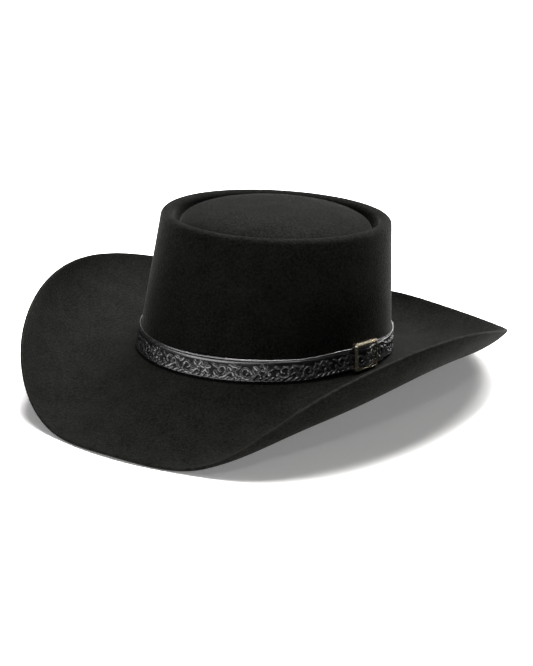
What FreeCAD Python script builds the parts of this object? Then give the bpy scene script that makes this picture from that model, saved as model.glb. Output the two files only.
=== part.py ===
"""Gambler-crown felt hat, as an assembly of its separate pieces.

Every piece is modelled on the level hat: +Z up the crown, -Y to the front, +X to the wearer's
left, and the crown's base oval on the plane Z = 0. Its Placement then leans the whole hat back, so
that it stands on the dips at the front and back of its brim, with the lowest felt at Z = 0 and the
brim centred on the origin.
"""
import FreeCAD, Part
import math
import os

import Sketcher
from FreeCAD import Placement, Rotation, Vector

doc = FreeCAD.newDocument("GamblerHat")

# ---------------------------------------------------------------- driving dimensions, in mm and degrees

DIMENSIONS = [
    ("felt_thickness", 2.6, "felt of the crown and brim"),
    ("base_half_length", 104.1, "crown base, outside, centre to front"),
    ("base_half_width", 96.7, "crown base, outside, centre to side"),
    ("base_centre", -3.6, "crown base oval, centre along Y"),
    ("base_wave", 0.5, "rise of the crown base at the sides, drop at front and back"),
    ("ridge_half_length", 82.5, "rolled rim of the crown, middle of its roll"),
    ("ridge_half_width", 85.6, "rolled rim of the crown, middle of its roll"),
    ("ridge_centre", 5.2, "rolled rim, centre along Y"),
    ("ridge_height", 98.3, "rolled rim, middle of its roll above the base"),
    ("ridge_roll", 5.0, "outside radius of the rolled rim"),
    ("groove_radius", 2.5, "bottom of the groove inside the rim"),
    ("groove_height", 90.0, "centre of that radius above the base"),
    ("pad_spring", 93.3, "height where the pad's wall starts to dome"),
    ("pad_rise", 17.7, "dome of the pad above that"),
    ("pad_squareness", 2.6, "power of the dome's section, 2 is an ellipse"),
    ("pad_flat", 12.0, "half width of the flat at the middle of the pad"),
    ("break_radius", 1.2, "fillet between the crown and the brim"),
    ("brim_drop", 3.0, "underside of the brim below the base where it leaves the crown"),
    ("width_front", 92.5, "brim width along its curve"),
    ("width_front_quarter", 105.0, ""),
    ("width_side", 99.5, ""),
    ("width_back_quarter", 98.5, ""),
    ("width_back", 103.0, ""),
    ("start_front", -27.0, "brim slope at the crown"),
    ("start_front_quarter", -33.0, ""),
    ("start_side", 7.0, ""),
    ("start_back_quarter", -19.0, ""),
    ("start_back", -23.5, ""),
    ("edge_front", -18.5, "brim slope at the edge"),
    ("edge_front_quarter", 51.0, ""),
    ("edge_side", 84.0, ""),
    ("edge_back_quarter", 40.5, ""),
    ("edge_back", 62.0, ""),
    ("curl_front", 3.6, "how late the brim curls, 1 is even"),
    ("curl_front_quarter", 1.8, ""),
    ("curl_side", 2.6, ""),
    ("curl_back_quarter", 1.5, ""),
    ("curl_back", 2.2, ""),
    ("sweep_front_quarter", 18.0, "turn of the brim's section towards the front"),
    ("sweep_side", 12.5, ""),
    ("sweep_back_quarter", -18.0, ""),
    ("lean_back", 4.0, "lean of the standing hat"),
    ("lining_thickness", 0.4, "satin of the lining"),
    ("lining_gap", 0.3, "lining to felt"),
    ("tip_gap", 0.1, "lining's tip to its side and to the clear oval"),
    ("lining_foot", 12.0, "lower edge of the lining's side"),
    ("lining_height", 79.0, "lining's side to its tip"),
    ("protector_half_length", 52.0, "clear oval under the lining's tip"),
    ("protector_half_width", 38.0, ""),
    ("protector_thickness", 0.3, ""),
    ("sweat_thickness", 1.1, "leather of the sweatband"),
    ("sweat_foot", 0.6, "lower edge of the sweatband"),
    ("sweat_height", 55.0, "upper edge of the sweatband"),
    ("sweat_gap_foot", 1.2, "sweatband to felt at its lower edge"),
    ("sweat_gap_top", 2.6, "sweatband to felt at its upper edge"),
    ("seam_gap", 0.5, "butt seam at the back of the sweatband"),
    ("reed_radius", 0.8, "plastic reed in the sweatband's lower edge"),
    ("reed_height", -1.1, "centre of the reed"),
    ("reed_opening", 1.5, "degrees between the ends of the reed and its tape, at the back"),
    ("tape_thickness", 0.35, "tape folded round the reed"),
    ("tape_clearance", 0.05, "reed to tape"),
    ("tape_height", 7.0, "top of the tape's flange above the base"),
    ("patch_width", 12.0, "tape behind the sweatband's seam"),
    ("patch_height", 42.0, ""),
    ("patch_thickness", 0.3, ""),
    ("patch_foot", 8.0, "lower edge of that tape"),
    ("patch_gap", 0.1, "that tape to the sweatband"),
    ("bow_reach", 17.0, "bow, knot to the end of a loop"),
    ("bow_depth", 4.4, "thickness of a loop"),
    ("bow_width", 7.0, "width of the bow's ribbon"),
    ("bow_ribbon", 0.6, "thickness of the bow's ribbon"),
    ("bow_height", 13.0, "middle of the bow above the base"),
    ("bow_gap", 0.3, "knot to the sweatband"),
    ("bow_swing", 6.0, "turn of each half of the bow along the curved sweatband"),
    ("tail_drop", 22.0, "slope of the bow's tails"),
    ("tail_margin", 0.5, "tail narrower than the loop, each side"),
    ("knot_width", 5.0, ""),
    ("knot_height", 8.0, ""),
    ("knot_depth", 6.0, ""),
    ("knot_round", 1.2, "fillet of the knot's ends"),
    ("knot_ease", 0.5, "opening through the knot deeper than the bow"),
    ("knot_side_ease", 0.1, "opening through the knot taller than the bow"),
    ("tab_width", 20.0, "blank size tab behind the sweatband"),
    ("tab_height", 13.0, ""),
    ("tab_thickness", 0.25, ""),
    ("tab_foot", 48.0, "lower edge of the tab"),
    ("tab_gap", 0.5, "tab to the sweatband"),
    ("band_foot", 0.9, "lower edge of the hatband"),
    ("band_height", 16.2, "width of the hatband's leather"),
    ("band_thickness", 1.2, "hatband leather"),
    ("band_skived", 0.7, "leather pared thin where it is folded back"),
    ("band_clearance", 0.5, "hatband to felt"),
    ("band_lift", 2.2, "rise of the leather where it runs through the buckle"),
    ("band_layer_gap", 0.12, "free end to the leather under it"),
    ("billet_length", 32.5, "free end past the middle of the buckle"),
    ("return_length", 7.0, "folded end past the middle of the buckle"),
    ("buckle_turn", 84.3, "buckle, degrees round from the front"),
    ("buckle_width", 27.0, ""),
    ("buckle_lower_bar", 1.6, ""),
    ("buckle_window", 17.6, "height of the opening"),
    ("buckle_upper_bar", 2.8, ""),
    ("buckle_side_bar", 2.0, ""),
    ("buckle_back", 1.0, "back of the buckle off the felt"),
    ("buckle_relief", 2.9, "side bars cut back for the leather"),
    ("buckle_depth", 4.4, "back to front"),
    ("buckle_corner", 2.2, "radius of its outer corners"),
    ("buckle_bevel", 1.4, "bevel round its front"),
    ("bar_radius", 0.65, "middle bar that the leather folds round"),
    ("bar_offset", 1.8, "middle bar off the felt"),
    ("bar_clearance", 0.15, "middle bar to leather"),
    ("bar_rebate", 0.8, "middle bar's length let into each rail"),
    ("rivet_offset", 5.0, "rivets past the middle bar"),
    ("rivet_radius", 0.9, ""),
    ("rivet_spacing", 8.0, ""),
    ("rivet_inset", 0.1, "rivet's ends below the face of the leather"),
]

sheet = doc.addObject("Spreadsheet::Sheet", "Dimensions")
for row, (alias, value, meaning) in enumerate(DIMENSIONS, start=1):
    sheet.set(f"A{row}", str(value))
    sheet.setAlias(f"A{row}", alias)
    sheet.set(f"B{row}", meaning)
doc.recompute()

STATIONS = ["front", "front_quarter", "side", "back_quarter", "back"]


def size(alias):
    """Value of a cell of the sheet."""
    return float(sheet.get(alias))


def stations(prefix):
    """The five values of one property of the brim, front to back."""
    return [size(f"{prefix}_{station}") for station in STATIONS]


def bind(thing, **expressions):
    """Tie properties to expressions on the sheet."""
    for name, expression in expressions.items():
        thing.setExpression(name, expression.replace("#", "Dimensions."))


# ---------------------------------------------------------------- ovals, turns and smooth curves

RING_POINTS = 48
ONE_TURN = 2 * math.pi
SMALL_TURN = 0.001
UP = Vector(0, 0, 1)


def half_at_ends(index, last):
    """Weight of a station in a cosine series: a half for the first and the last."""
    return 0.5 if index in (0, last) else 1.0


def around(values, turn):
    """Value at a turn from the front, on the even curve through equally spaced stations."""
    last = len(values) - 1
    total = 0.0
    for wave in range(last + 1):
        share = sum(
            half_at_ends(i, last) * value * math.cos(wave * i * math.pi / last)
            for i, value in enumerate(values)
        )
        total += half_at_ends(wave, last) * share * math.cos(wave * turn)
    return total * 2 / last


def mirrored(values, turn):
    """The same for a turning that is opposite left and right, and nothing at front and back."""
    steps = len(values) + 1
    total = 0.0
    for wave in range(1, steps):
        share = sum(
            value * math.sin(wave * i * math.pi / steps) for i, value in enumerate(values, start=1)
        )
        total += share * math.sin(wave * turn)
    return total * 2 / steps


def oval_point(half_length, half_width, centre, height, turn):
    """Point of an oval, at a turn from the front towards the wearer's left."""
    return Vector(half_width * math.sin(turn), centre - half_length * math.cos(turn), height)


def closed_curve(points):
    """Smooth closed wire through points, at even parameters so that such wires match each other."""
    curve = Part.BSplineCurve()
    curve.interpolate(Points=points, Parameters=list(range(len(points) + 1)), PeriodicFlag=True)
    return Part.Wire(curve.toShape())


def ring(point_at):
    """Closed wire once round the hat through point_at(turn)."""
    return closed_curve([point_at(ONE_TURN * i / RING_POINTS) for i in range(RING_POINTS)])


def crown_at(height):
    """Half length, half width and centre of the crown's outside at a height."""
    share = height / size("ridge_height")
    long_top = size("ridge_half_length") + size("ridge_roll")
    wide_top = size("ridge_half_width") + size("ridge_roll")
    return (
        size("base_half_length") + (long_top - size("base_half_length")) * share,
        size("base_half_width") + (wide_top - size("base_half_width")) * share,
        size("base_centre") + (size("ridge_centre") - size("base_centre")) * share,
    )


def wall_point(turn, outward, height):
    """Point a distance outward from the crown's outside."""
    half_length, half_width, centre = crown_at(height)
    return oval_point(half_length + outward, half_width + outward, centre, height, turn)


def placed_on(point_at, turn, outward, height):
    """Placement on a wall of the hat: Y outward, Z up the wall and X towards the front on the left."""
    here = point_at(turn, outward, height)
    along = (point_at(turn + SMALL_TURN, outward, height) - here).normalize()
    out = along.cross(point_at(turn, outward, height + 1) - here).normalize()
    return Placement(here, Rotation(along * -1, out, out.cross(along), "ZYX"))


def base_wave(turn):
    """Rise of the crown's base at a turn."""
    return -size("base_wave") * math.cos(2 * turn)


# ---------------------------------------------------------------- the felt

BRIM_WIDTH = stations("width")
BRIM_START = stations("start")
BRIM_EDGE = stations("edge")
BRIM_CURL = stations("curl")
BRIM_SWEEP = [size(f"sweep_{station}") for station in STATIONS[1:-1]]
CURVE_STEPS = 24
NUDGE = 0.004
EDGE_BULGE = 0.6


def brim_heading(turn):
    """Direction in plan in which the brim's section runs at a turn."""
    ahead = -math.cos(turn) / size("base_half_length")
    sideways = math.sin(turn) / size("base_half_width")
    outward = math.atan2(ahead, sideways)
    heading = outward - math.radians(mirrored(BRIM_SWEEP, turn))
    return Vector(math.cos(heading), math.sin(heading), 0)


def brim_base(turn):
    """Point under the crown's base where the underside of the brim would meet the crown's outside."""
    half_length = size("base_half_length")
    half_width = size("base_half_width")
    height = base_wave(turn) - size("brim_drop")
    return oval_point(half_length, half_width, size("base_centre"), height, turn)


def brim_point(turn, reach):
    """Underside of the brim, reach 0 at the crown and 1 at the edge."""
    start = math.radians(around(BRIM_START, turn))
    edge = math.radians(around(BRIM_EDGE, turn))
    curl = around(BRIM_CURL, turn)
    step = around(BRIM_WIDTH, turn) * reach / CURVE_STEPS
    run = 0.0
    rise = 0.0
    for i in range(CURVE_STEPS):
        slope = start + (edge - start) * (reach * (i + 0.5) / CURVE_STEPS) ** curl
        run += step * math.cos(slope)
        rise += step * math.sin(slope)
    return brim_base(turn) + brim_heading(turn) * run + UP * rise


def brim_frame(turn, reach):
    """The brim's direction outward and its normal, upward, at a point."""
    outward = brim_point(turn, reach) - brim_point(turn, reach - NUDGE)
    along = brim_point(turn + NUDGE, reach) - brim_point(turn - NUDGE, reach)
    normal = outward.cross(along).normalize()
    return along.cross(normal).normalize(), normal


def brim_ring(reach, share):
    """Ring of the brim, share 0 on its underside and 1 on its top."""
    rise = share * size("felt_thickness")
    return ring(lambda turn: brim_point(turn, reach) + brim_frame(turn, reach)[1] * rise)


def edge_ring(angle):
    """Ring of the rounded cut edge, 90 degrees at the top and -90 at the underside."""
    half = size("felt_thickness") / 2

    def at(turn):
        outward, normal = brim_frame(turn, 1.0)
        middle = brim_point(turn, 1.0) + normal * half
        bulge = outward * half * EDGE_BULGE * math.cos(angle)
        return middle + bulge + normal * half * math.sin(angle)

    return ring(at)


def break_ring(radius, share):
    """Ring of the bend between crown and brim, share 0 at the crown and 1 at the brim."""
    offset = size("break_radius")

    def at(turn):
        slope = math.radians(around(BRIM_START, turn))
        inner = offset + size("felt_thickness")
        height = (inner + offset * math.sin(slope)) / math.cos(slope)
        angle = math.pi + share * (math.pi / 2 + slope)
        out = brim_heading(turn) * (offset + radius * math.cos(angle))
        return brim_base(turn) + out + UP * (height + radius * math.sin(angle))

    return ring(at)


def crown_ring(inset, height):
    """Ring of the crown's wall, inset from its outside."""
    return ring(lambda turn: wall_point(turn, -inset, height))


def roll_ring(middle, level, radius, angle):
    """Ring of the rim's roll, or of the groove whose middle runs inset from the rim's middle."""
    half_length = size("ridge_half_length") - middle + radius * math.cos(angle)
    half_width = size("ridge_half_width") - middle + radius * math.cos(angle)
    height = level + radius * math.sin(angle)
    wave = size("base_wave")
    return ring(
        lambda turn: oval_point(
            half_length, half_width, size("ridge_centre"), height - wave * math.cos(2 * turn), turn
        )
    )


def pad_ring(share, inset):
    """Ring of the pad's dome, share 1 at its wall, inset from its outside."""
    groove = size("ridge_roll") + 2 * size("groove_radius")
    half_length = (size("ridge_half_length") - groove - inset) * share
    half_width = (size("ridge_half_width") - groove - inset) * share
    dome = math.sqrt(max(0.0, 1 - share ** size("pad_squareness")))
    height = size("pad_spring") + (size("pad_rise") - inset) * dome
    return ring(lambda turn: oval_point(half_length, half_width, size("ridge_centre"), height, turn))


def felt_side(inset):
    """Rings of one face of the felt, from the middle of the pad to the crown's wall."""
    groove_middle = size("ridge_roll") + size("groove_radius")
    groove = size("groove_radius") + inset
    roll = size("ridge_roll") - inset
    flat = size("pad_flat") / size("ridge_half_width")
    dome = (flat, 0.32, 0.5, 0.66, 0.79, 0.89, 0.955, 0.99, 1.0)
    rings = [pad_ring(share, inset) for share in dome]
    for degrees in (-180, -150, -120, -90, -60, -30, 0):
        rings.append(roll_ring(groove_middle, size("groove_height"), groove, math.radians(degrees)))
    for degrees in (180, 150, 120, 90, 60, 30, 5):
        rings.append(roll_ring(0, size("ridge_height"), roll, math.radians(degrees)))
    for share in (0.88, 0.7, 0.5, 0.3, 0.15, 0.07):
        rings.append(crown_ring(inset, share * size("ridge_height")))
    return rings


def felt_shape():
    """Crown and brim in one piece of felt: one closed profile carried round the hat."""
    thickness = size("felt_thickness")
    reaches = [0.06, 0.12, 0.2, 0.3, 0.4, 0.5, 0.6, 0.7, 0.79, 0.87, 0.94]
    outside = felt_side(0)
    outside += [break_ring(size("break_radius"), share) for share in (0.1, 0.5, 0.95)]
    outside += [brim_ring(reach, 1) for reach in reaches]
    edge = [edge_ring(math.radians(degrees)) for degrees in (90, 45, 0, -45, -90)]
    inside = [brim_ring(reach, 0) for reach in reversed(reaches)]
    inside += [break_ring(size("break_radius") + thickness, share) for share in (0.95, 0.5, 0.1)]
    inside += list(reversed(felt_side(thickness)))
    faces = [
        Part.makeLoft(outside + [edge[0]], False, False),
        Part.makeLoft(edge, False, False),
        Part.makeLoft([edge[-1]] + inside, False, False),
        Part.Face(outside[0]),
        Part.Face(inside[-1]),
    ]
    shell = Part.makeShell([face for part in faces for face in part.Faces])
    shell.sewShape()
    return Part.makeSolid(shell)


# ---------------------------------------------------------------- the hatband's leather

def smooth_step(share):
    """0 below 0, 1 above 1, and level at both ends."""
    share = min(1.0, max(0.0, share))
    return share * share * (3 - 2 * share)


def buckle_turn():
    """Turn of the buckle's middle, in radians."""
    return math.radians(size("buckle_turn"))


def wall_rate():
    """Millimetres of the crown's wall for each radian of turn, at the buckle."""
    half_length, half_width, _ = crown_at(size("band_height") / 2)
    turn = buckle_turn()
    return math.hypot(half_width * math.cos(turn), half_length * math.sin(turn))


def band_levels():
    """Offsets of the leather's middle: flat on the felt, over the bar, and one layer's rise."""
    thickness = size("band_thickness")
    flat = size("band_clearance") + thickness / 2
    over_bar = size("bar_offset") + size("bar_radius") + size("bar_clearance") + thickness / 2
    layer = thickness + size("band_layer_gap")
    return flat, over_bar, layer


LEATHER_SETTLES = 12.0
BILLET_SETTLES = 16.0
LIFT_RUNS_OUT = 60.0
LIFT_FADES_OVER = 42.0
PLAIN_STARTS = 30.0
PLAIN_STEP = math.radians(7.5)
FOLD_STEP = 20


def tongue_offset(along):
    """Middle of the inner strand beyond the buckle, falling from the bar to the felt."""
    flat, over_bar, _ = band_levels()
    return flat + (over_bar - flat) * smooth_step((LEATHER_SETTLES - along) / (LEATHER_SETTLES - 1))


def billet_offset(along):
    """Middle of the outer strand through the buckle, over the inner strand beyond it."""
    flat, over_bar, layer = band_levels()
    if along >= 1:
        return tongue_offset(along) + layer
    rise = over_bar + layer - flat
    return flat + rise * smooth_step((BILLET_SETTLES + along) / (BILLET_SETTLES - 1))


def band_route():
    """The leather's middle as (turn, offset, thickness), from its folded end to its free end."""
    start = buckle_turn()
    rate = wall_rate()
    thin = size("band_skived")
    full = size("band_thickness")
    fold = size("bar_radius") + size("bar_clearance")
    behind = size("bar_offset") - fold - thin / 2
    route = [(start + along / rate, behind, thin) for along in (size("return_length"), 5, 3, 1.2)]
    for degrees in range(-90, 91, FOLD_STEP):
        angle = math.radians(degrees)
        thickness = thin + (full - thin) * (degrees + 90) / 180
        radius = fold + thickness / 2
        turn = start - radius * math.cos(angle) / rate
        route.append((turn, size("bar_offset") + radius * math.sin(angle), thickness))
    strand = (1.2, 2.5, 4, 5.5, 7, 8.5, 10, 12, 15, 20)
    route += [(start + along / rate, tongue_offset(along), full) for along in strand]
    first = start + PLAIN_STARTS / rate
    last = start + ONE_TURN - PLAIN_STARTS / rate
    plain = round((last - first) / PLAIN_STEP)
    flat = band_levels()[0]
    route += [(first + (last - first) * i / plain, flat, full) for i in range(plain + 1)]
    free = (-24, -19, -16, -13, -10.5, -8, -5.5, -3, -1, 1, 3, 5, 7, 9, 11, 13, 16, 20, 25, 29)
    route += [(start + ONE_TURN + along / rate, billet_offset(along), full) for along in free]
    route.append((start + ONE_TURN + size("billet_length") / rate, flat + band_levels()[2], full))
    return route


def band_middle(turn):
    """Height of the leather's middle: standing on the brim, and lifted by the buckle's lower rail."""
    apart = math.remainder(turn - buckle_turn(), ONE_TURN) * wall_rate()
    lift = size("band_lift") * smooth_step((LIFT_RUNS_OUT - abs(apart)) / LIFT_FADES_OVER)
    return size("band_foot") + size("band_height") / 2 + base_wave(turn) + lift


def band_edge(route, side, edge):
    """Edge of the leather: side -1 inside and +1 outside, edge -1 the lower and +1 the upper."""
    places = [placed_on(wall_point, turn, offset, band_middle(turn)) for turn, offset, _ in route]
    points = []
    travel = [0.0]
    for i, (place, (_, _, thickness)) in enumerate(zip(places, route)):
        up = place.Rotation.multVec(UP)
        ahead = places[min(i + 1, len(route) - 1)].Base - places[max(i - 1, 0)].Base
        outward = ahead.cross(up).normalize()
        height = up * edge * size("band_height") / 2
        points.append(place.Base + outward * side * thickness / 2 + height)
        if i:
            travel.append(travel[-1] + (place.Base - places[i - 1].Base).Length)
    curve = Part.BSplineCurve()
    curve.interpolate(Points=points, Parameters=travel)
    return curve.toShape()


def hatband_shape():
    """One strip of leather: folded round the buckle's bar, round the crown and through the buckle."""
    route = band_route()
    edges = [band_edge(route, side, edge) for side, edge in ((-1, -1), (-1, 1), (1, 1), (1, -1))]
    faces = [Part.makeRuledSurface(edges[i], edges[(i + 1) % 4]) for i in range(4)]
    for end in (0, -1):
        corners = [edge.Vertexes[end].Point for edge in edges]
        sides = [Part.makeLine(corners[i], corners[(i + 1) % 4]) for i in range(4)]
        faces.append(Part.makeRuledSurface(sides[0], Part.makeLine(corners[3], corners[2])))
    shell = Part.makeShell(faces)
    shell.sewShape()
    solid = Part.makeSolid(shell)
    if solid.Volume < 0:
        solid.reverse()
    return solid


# ---------------------------------------------------------------- placements inside the crown

def sweat_gap(height):
    """Gap between the felt and the sweatband at a height."""
    share = (height - size("sweat_foot")) / (size("sweat_height") - size("sweat_foot"))
    return size("sweat_gap_foot") + (size("sweat_gap_top") - size("sweat_gap_foot")) * share


def sweat_point(turn, outward, height):
    """Point a distance outward from the sweatband's outer face."""
    return wall_point(turn, outward - size("felt_thickness") - sweat_gap(height), height)


BACK = math.pi
TAB_TURN = math.radians(205)

# ---------------------------------------------------------------- objects bound to the sheet

nodes = {}


def keep(label, thing, local=Placement()):
    """Note a finished sub-part and its place on the level hat."""
    thing.Label = label
    nodes[label] = (thing, local)


def feature(label, shape):
    """Sub-part whose shape is worked out above."""
    thing = doc.addObject("Part::Feature", label)
    thing.Shape = shape
    keep(label, thing)


def wall_expression(direction, height):
    """Expression for the crown's outside half length or half width at a height."""
    base = f"#base_half_{direction}"
    top = f"(#ridge_half_{direction} + #ridge_roll)"
    return f"({base} + ({top} - {base}) * ({height}) / #ridge_height)"


def centre_expression(height):
    """Expression for the crown's centre along Y at a height."""
    return f"(#base_centre + (#ridge_centre - #base_centre) * ({height}) / #ridge_height)"


def oval(name, height, inset):
    """Oval edge inside the crown's wall, starting at the back."""
    edge = doc.addObject("Part::Ellipse", name)
    edge.Placement = Placement(Vector(), Rotation(UP, 90))
    bind(
        edge,
        MajorRadius=f"{wall_expression('length', height)} - ({inset})",
        MinorRadius=f"{wall_expression('width', height)} - ({inset})",
    )
    edge.setExpression(".Placement.Base.y", centre_expression(height).replace("#", "Dimensions."))
    edge.setExpression(".Placement.Base.z", height.replace("#", "Dimensions."))
    return edge


def round_edge(name, height, inset):
    """Round edge inside the crown's wall, as wide as the crown is long, starting at the back."""
    edge = doc.addObject("Part::Circle", name)
    edge.Placement = Placement(Vector(), Rotation(UP, 90))
    bind(edge, Radius=f"{wall_expression('length', height)} - ({inset})")
    edge.setExpression(".Placement.Base.y", centre_expression(height).replace("#", "Dimensions."))
    edge.setExpression(".Placement.Base.z", height.replace("#", "Dimensions."))
    return edge


def loft(name, *sections):
    """Straight-sided solid through sections."""
    solid = doc.addObject("Part::Loft", name)
    solid.Sections = list(sections)
    solid.Solid = True
    solid.Ruled = True
    return solid


def cut(name, base, tool):
    """Base less tool."""
    result = doc.addObject("Part::Cut", name)
    result.Base = base
    result.Tool = tool
    return result


def fuse(name, *pieces):
    """Pieces joined."""
    result = doc.addObject("Part::MultiFuse", name)
    result.Shapes = list(pieces)
    return result


def box(name, length, width, height):
    """Box bound to the sheet."""
    block = doc.addObject("Part::Box", name)
    bind(block, Length=length, Width=width, Height=height)
    return block


def half_way_left(alias):
    """Shift that puts the middle of a piece of that width on its own axis."""
    return Placement(Vector(-size(alias) / 2, 0, 0), Rotation())


def make_lining():
    """Satin side, satin tip and the clear oval under the tip."""
    gap = "#felt_thickness + #lining_gap"
    inner = f"{gap} + #lining_thickness"
    outside = loft(
        "LiningOutside",
        oval("LiningFootOutside", "#lining_foot", gap),
        round_edge("LiningTopOutside", "#lining_height", gap),
    )
    inside = loft(
        "LiningInside",
        oval("LiningFootInside", "#lining_foot", inner),
        round_edge("LiningTopInside", "#lining_height", inner),
    )
    keep("lining_side", cut("LiningSide", outside, inside))

    centre = Vector(0, crown_at(size("lining_height"))[2], 0)
    tip = doc.addObject("Part::Cylinder", "LiningTip")
    radius = f"{wall_expression('length', '#lining_height')} - ({gap})"
    bind(tip, Radius=radius, Height="#lining_thickness")
    over_side = size("lining_height") + size("tip_gap")
    keep("lining_tip", tip, Placement(centre + UP * over_side, Rotation()))

    outline = doc.addObject("Part::Ellipse", "ProtectorOutline")
    bind(outline, MajorRadius="#protector_half_length", MinorRadius="#protector_half_width")
    sheet_piece = doc.addObject("Part::Extrusion", "TipProtector")
    sheet_piece.Base = outline
    sheet_piece.DirMode = "Custom"
    sheet_piece.Dir = UP
    sheet_piece.Solid = True
    bind(sheet_piece, LengthFwd="#protector_thickness")
    under_tip = size("lining_height") - size("protector_thickness") - size("tip_gap")
    keep("tip_protector", sheet_piece, Placement(centre + UP * under_tip, Rotation(UP, 90)))


def make_sweatband():
    """Leather band inside the crown, open at its back seam, with the seam's tape and a blank tab."""
    foot_gap = "#felt_thickness + #sweat_gap_foot"
    top_gap = "#felt_thickness + #sweat_gap_top"
    outside = loft(
        "SweatOutside",
        oval("SweatFootOutside", "#sweat_foot", foot_gap),
        oval("SweatTopOutside", "#sweat_height", top_gap),
    )
    inside = loft(
        "SweatInside",
        oval("SweatFootInside", "#sweat_foot", f"{foot_gap} + #sweat_thickness"),
        oval("SweatTopInside", "#sweat_height", f"{top_gap} + #sweat_thickness"),
    )
    band = cut("SweatRing", outside, inside)
    slot = box("SweatSeam", "#seam_gap", "#base_half_length", "#sweat_height * 2")
    slot.Placement.Base = Vector(-size("seam_gap") / 2, 0, -size("sweat_height") / 2)
    keep("sweatband", cut("Sweatband", band, slot))

    patch = box("SeamPatch", "#patch_width", "#patch_thickness", "#patch_height")
    place = placed_on(sweat_point, BACK, size("patch_gap"), size("patch_foot"))
    keep("seam_patch", patch, place.multiply(half_way_left("patch_width")))

    tab = box("SizeTab", "#tab_width", "#tab_thickness", "#tab_height")
    place = placed_on(sweat_point, TAB_TURN, size("tab_gap"), size("tab_foot"))
    keep("size_tab", tab, place.multiply(half_way_left("tab_width")))


REED_INSET = 0.5
TAPE_BEND = 300
TAPE_STEP = 30


def hoop(name, radius):
    """Round rod carried round the sweatband's foot, open at the back."""
    middle = f"#felt_thickness + #sweat_gap_foot + {REED_INSET}"
    path = oval(f"{name}Path", "#reed_height", middle)
    path.Angle1 = size("reed_opening") / 2
    path.Angle2 = 360 - size("reed_opening") / 2
    doc.recompute()
    edge = path.Shape.Edges[0]
    start = edge.valueAt(edge.FirstParameter)
    section = doc.addObject("Part::Circle", f"{name}Section")
    bind(section, Radius=radius)
    section.Placement = Placement(start, Rotation(UP, edge.tangentAt(edge.FirstParameter)))
    rod = doc.addObject("Part::Sweep", name)
    rod.Sections = [section]
    rod.Spine = (path, ["Edge1"])
    rod.Solid = True
    rod.Frenet = False
    return rod


def tape_shape():
    """Tape folded round the reed, with one flange up the felt to its stitches."""
    inner = size("reed_radius") + size("tape_clearance")
    outer = inner + size("tape_thickness")
    middle = size("felt_thickness") + size("sweat_gap_foot") + REED_INSET
    flange = middle - outer

    def bend_ring(radius, degrees):
        angle = math.radians(degrees)

        def point(turn):
            place = placed_on(wall_point, turn, -middle, size("reed_height"))
            outward = place.Rotation.multVec(Vector(0, 1, 0))
            outward = Vector(outward.x, outward.y, 0).normalize()
            return place.Base + outward * radius * math.cos(angle) + UP * radius * math.sin(angle)

        return ring(point)

    def flange_ring(inset):
        return ring(lambda turn: wall_point(turn, -inset, size("tape_height")))

    bends = range(0, -TAPE_BEND - 1, -TAPE_STEP)
    rings = [flange_ring(flange)]
    rings += [bend_ring(outer, degrees) for degrees in bends]
    rings += [bend_ring(inner, degrees) for degrees in reversed(bends)]
    rings.append(flange_ring(flange + size("tape_thickness")))
    top = Part.makeRuledSurface(rings[-1].Edges[0], rings[0].Edges[0])
    shell = Part.makeShell(Part.makeLoft(rings, False, True).Faces + [top])
    shell.sewShape()
    return Part.makeSolid(shell)


def make_reed():
    """Plastic reed and the cloth tape that is folded round it and sewn to the felt."""
    keep("sweatband_reed", hoop("Reed", "#reed_radius"))
    feature("reed_tape", tape_shape())


def bow_swing(side):
    """Turn of one half of the bow that lays it along the curved sweatband."""
    return Rotation(UP, -side * size("bow_swing"))


def bow_loop(name, side):
    """One loop of the bow: a flattened ring of ribbon, from the knot out to one side."""
    rings = []
    for part, inset in (("Outside", "0"), ("Inside", "#bow_ribbon")):
        outline = doc.addObject("Part::Ellipse", f"{name}{part}Outline")
        bind(
            outline,
            MajorRadius=f"#bow_reach / 2 - {inset}",
            MinorRadius=f"#bow_depth / 2 - {inset}",
        )
        solid = doc.addObject("Part::Extrusion", f"{name}{part}")
        solid.Base = outline
        solid.DirMode = "Custom"
        solid.Dir = UP
        solid.Solid = True
        bind(solid, LengthFwd="#bow_width")
        rings.append(solid)
    loop = cut(name, rings[0], rings[1])
    swing = bow_swing(side)
    middle = swing.multVec(Vector(side * size("bow_reach") / 2, 0, 0))
    loop.Placement = Placement(middle - UP * size("bow_width") / 2, swing)
    return loop


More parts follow.
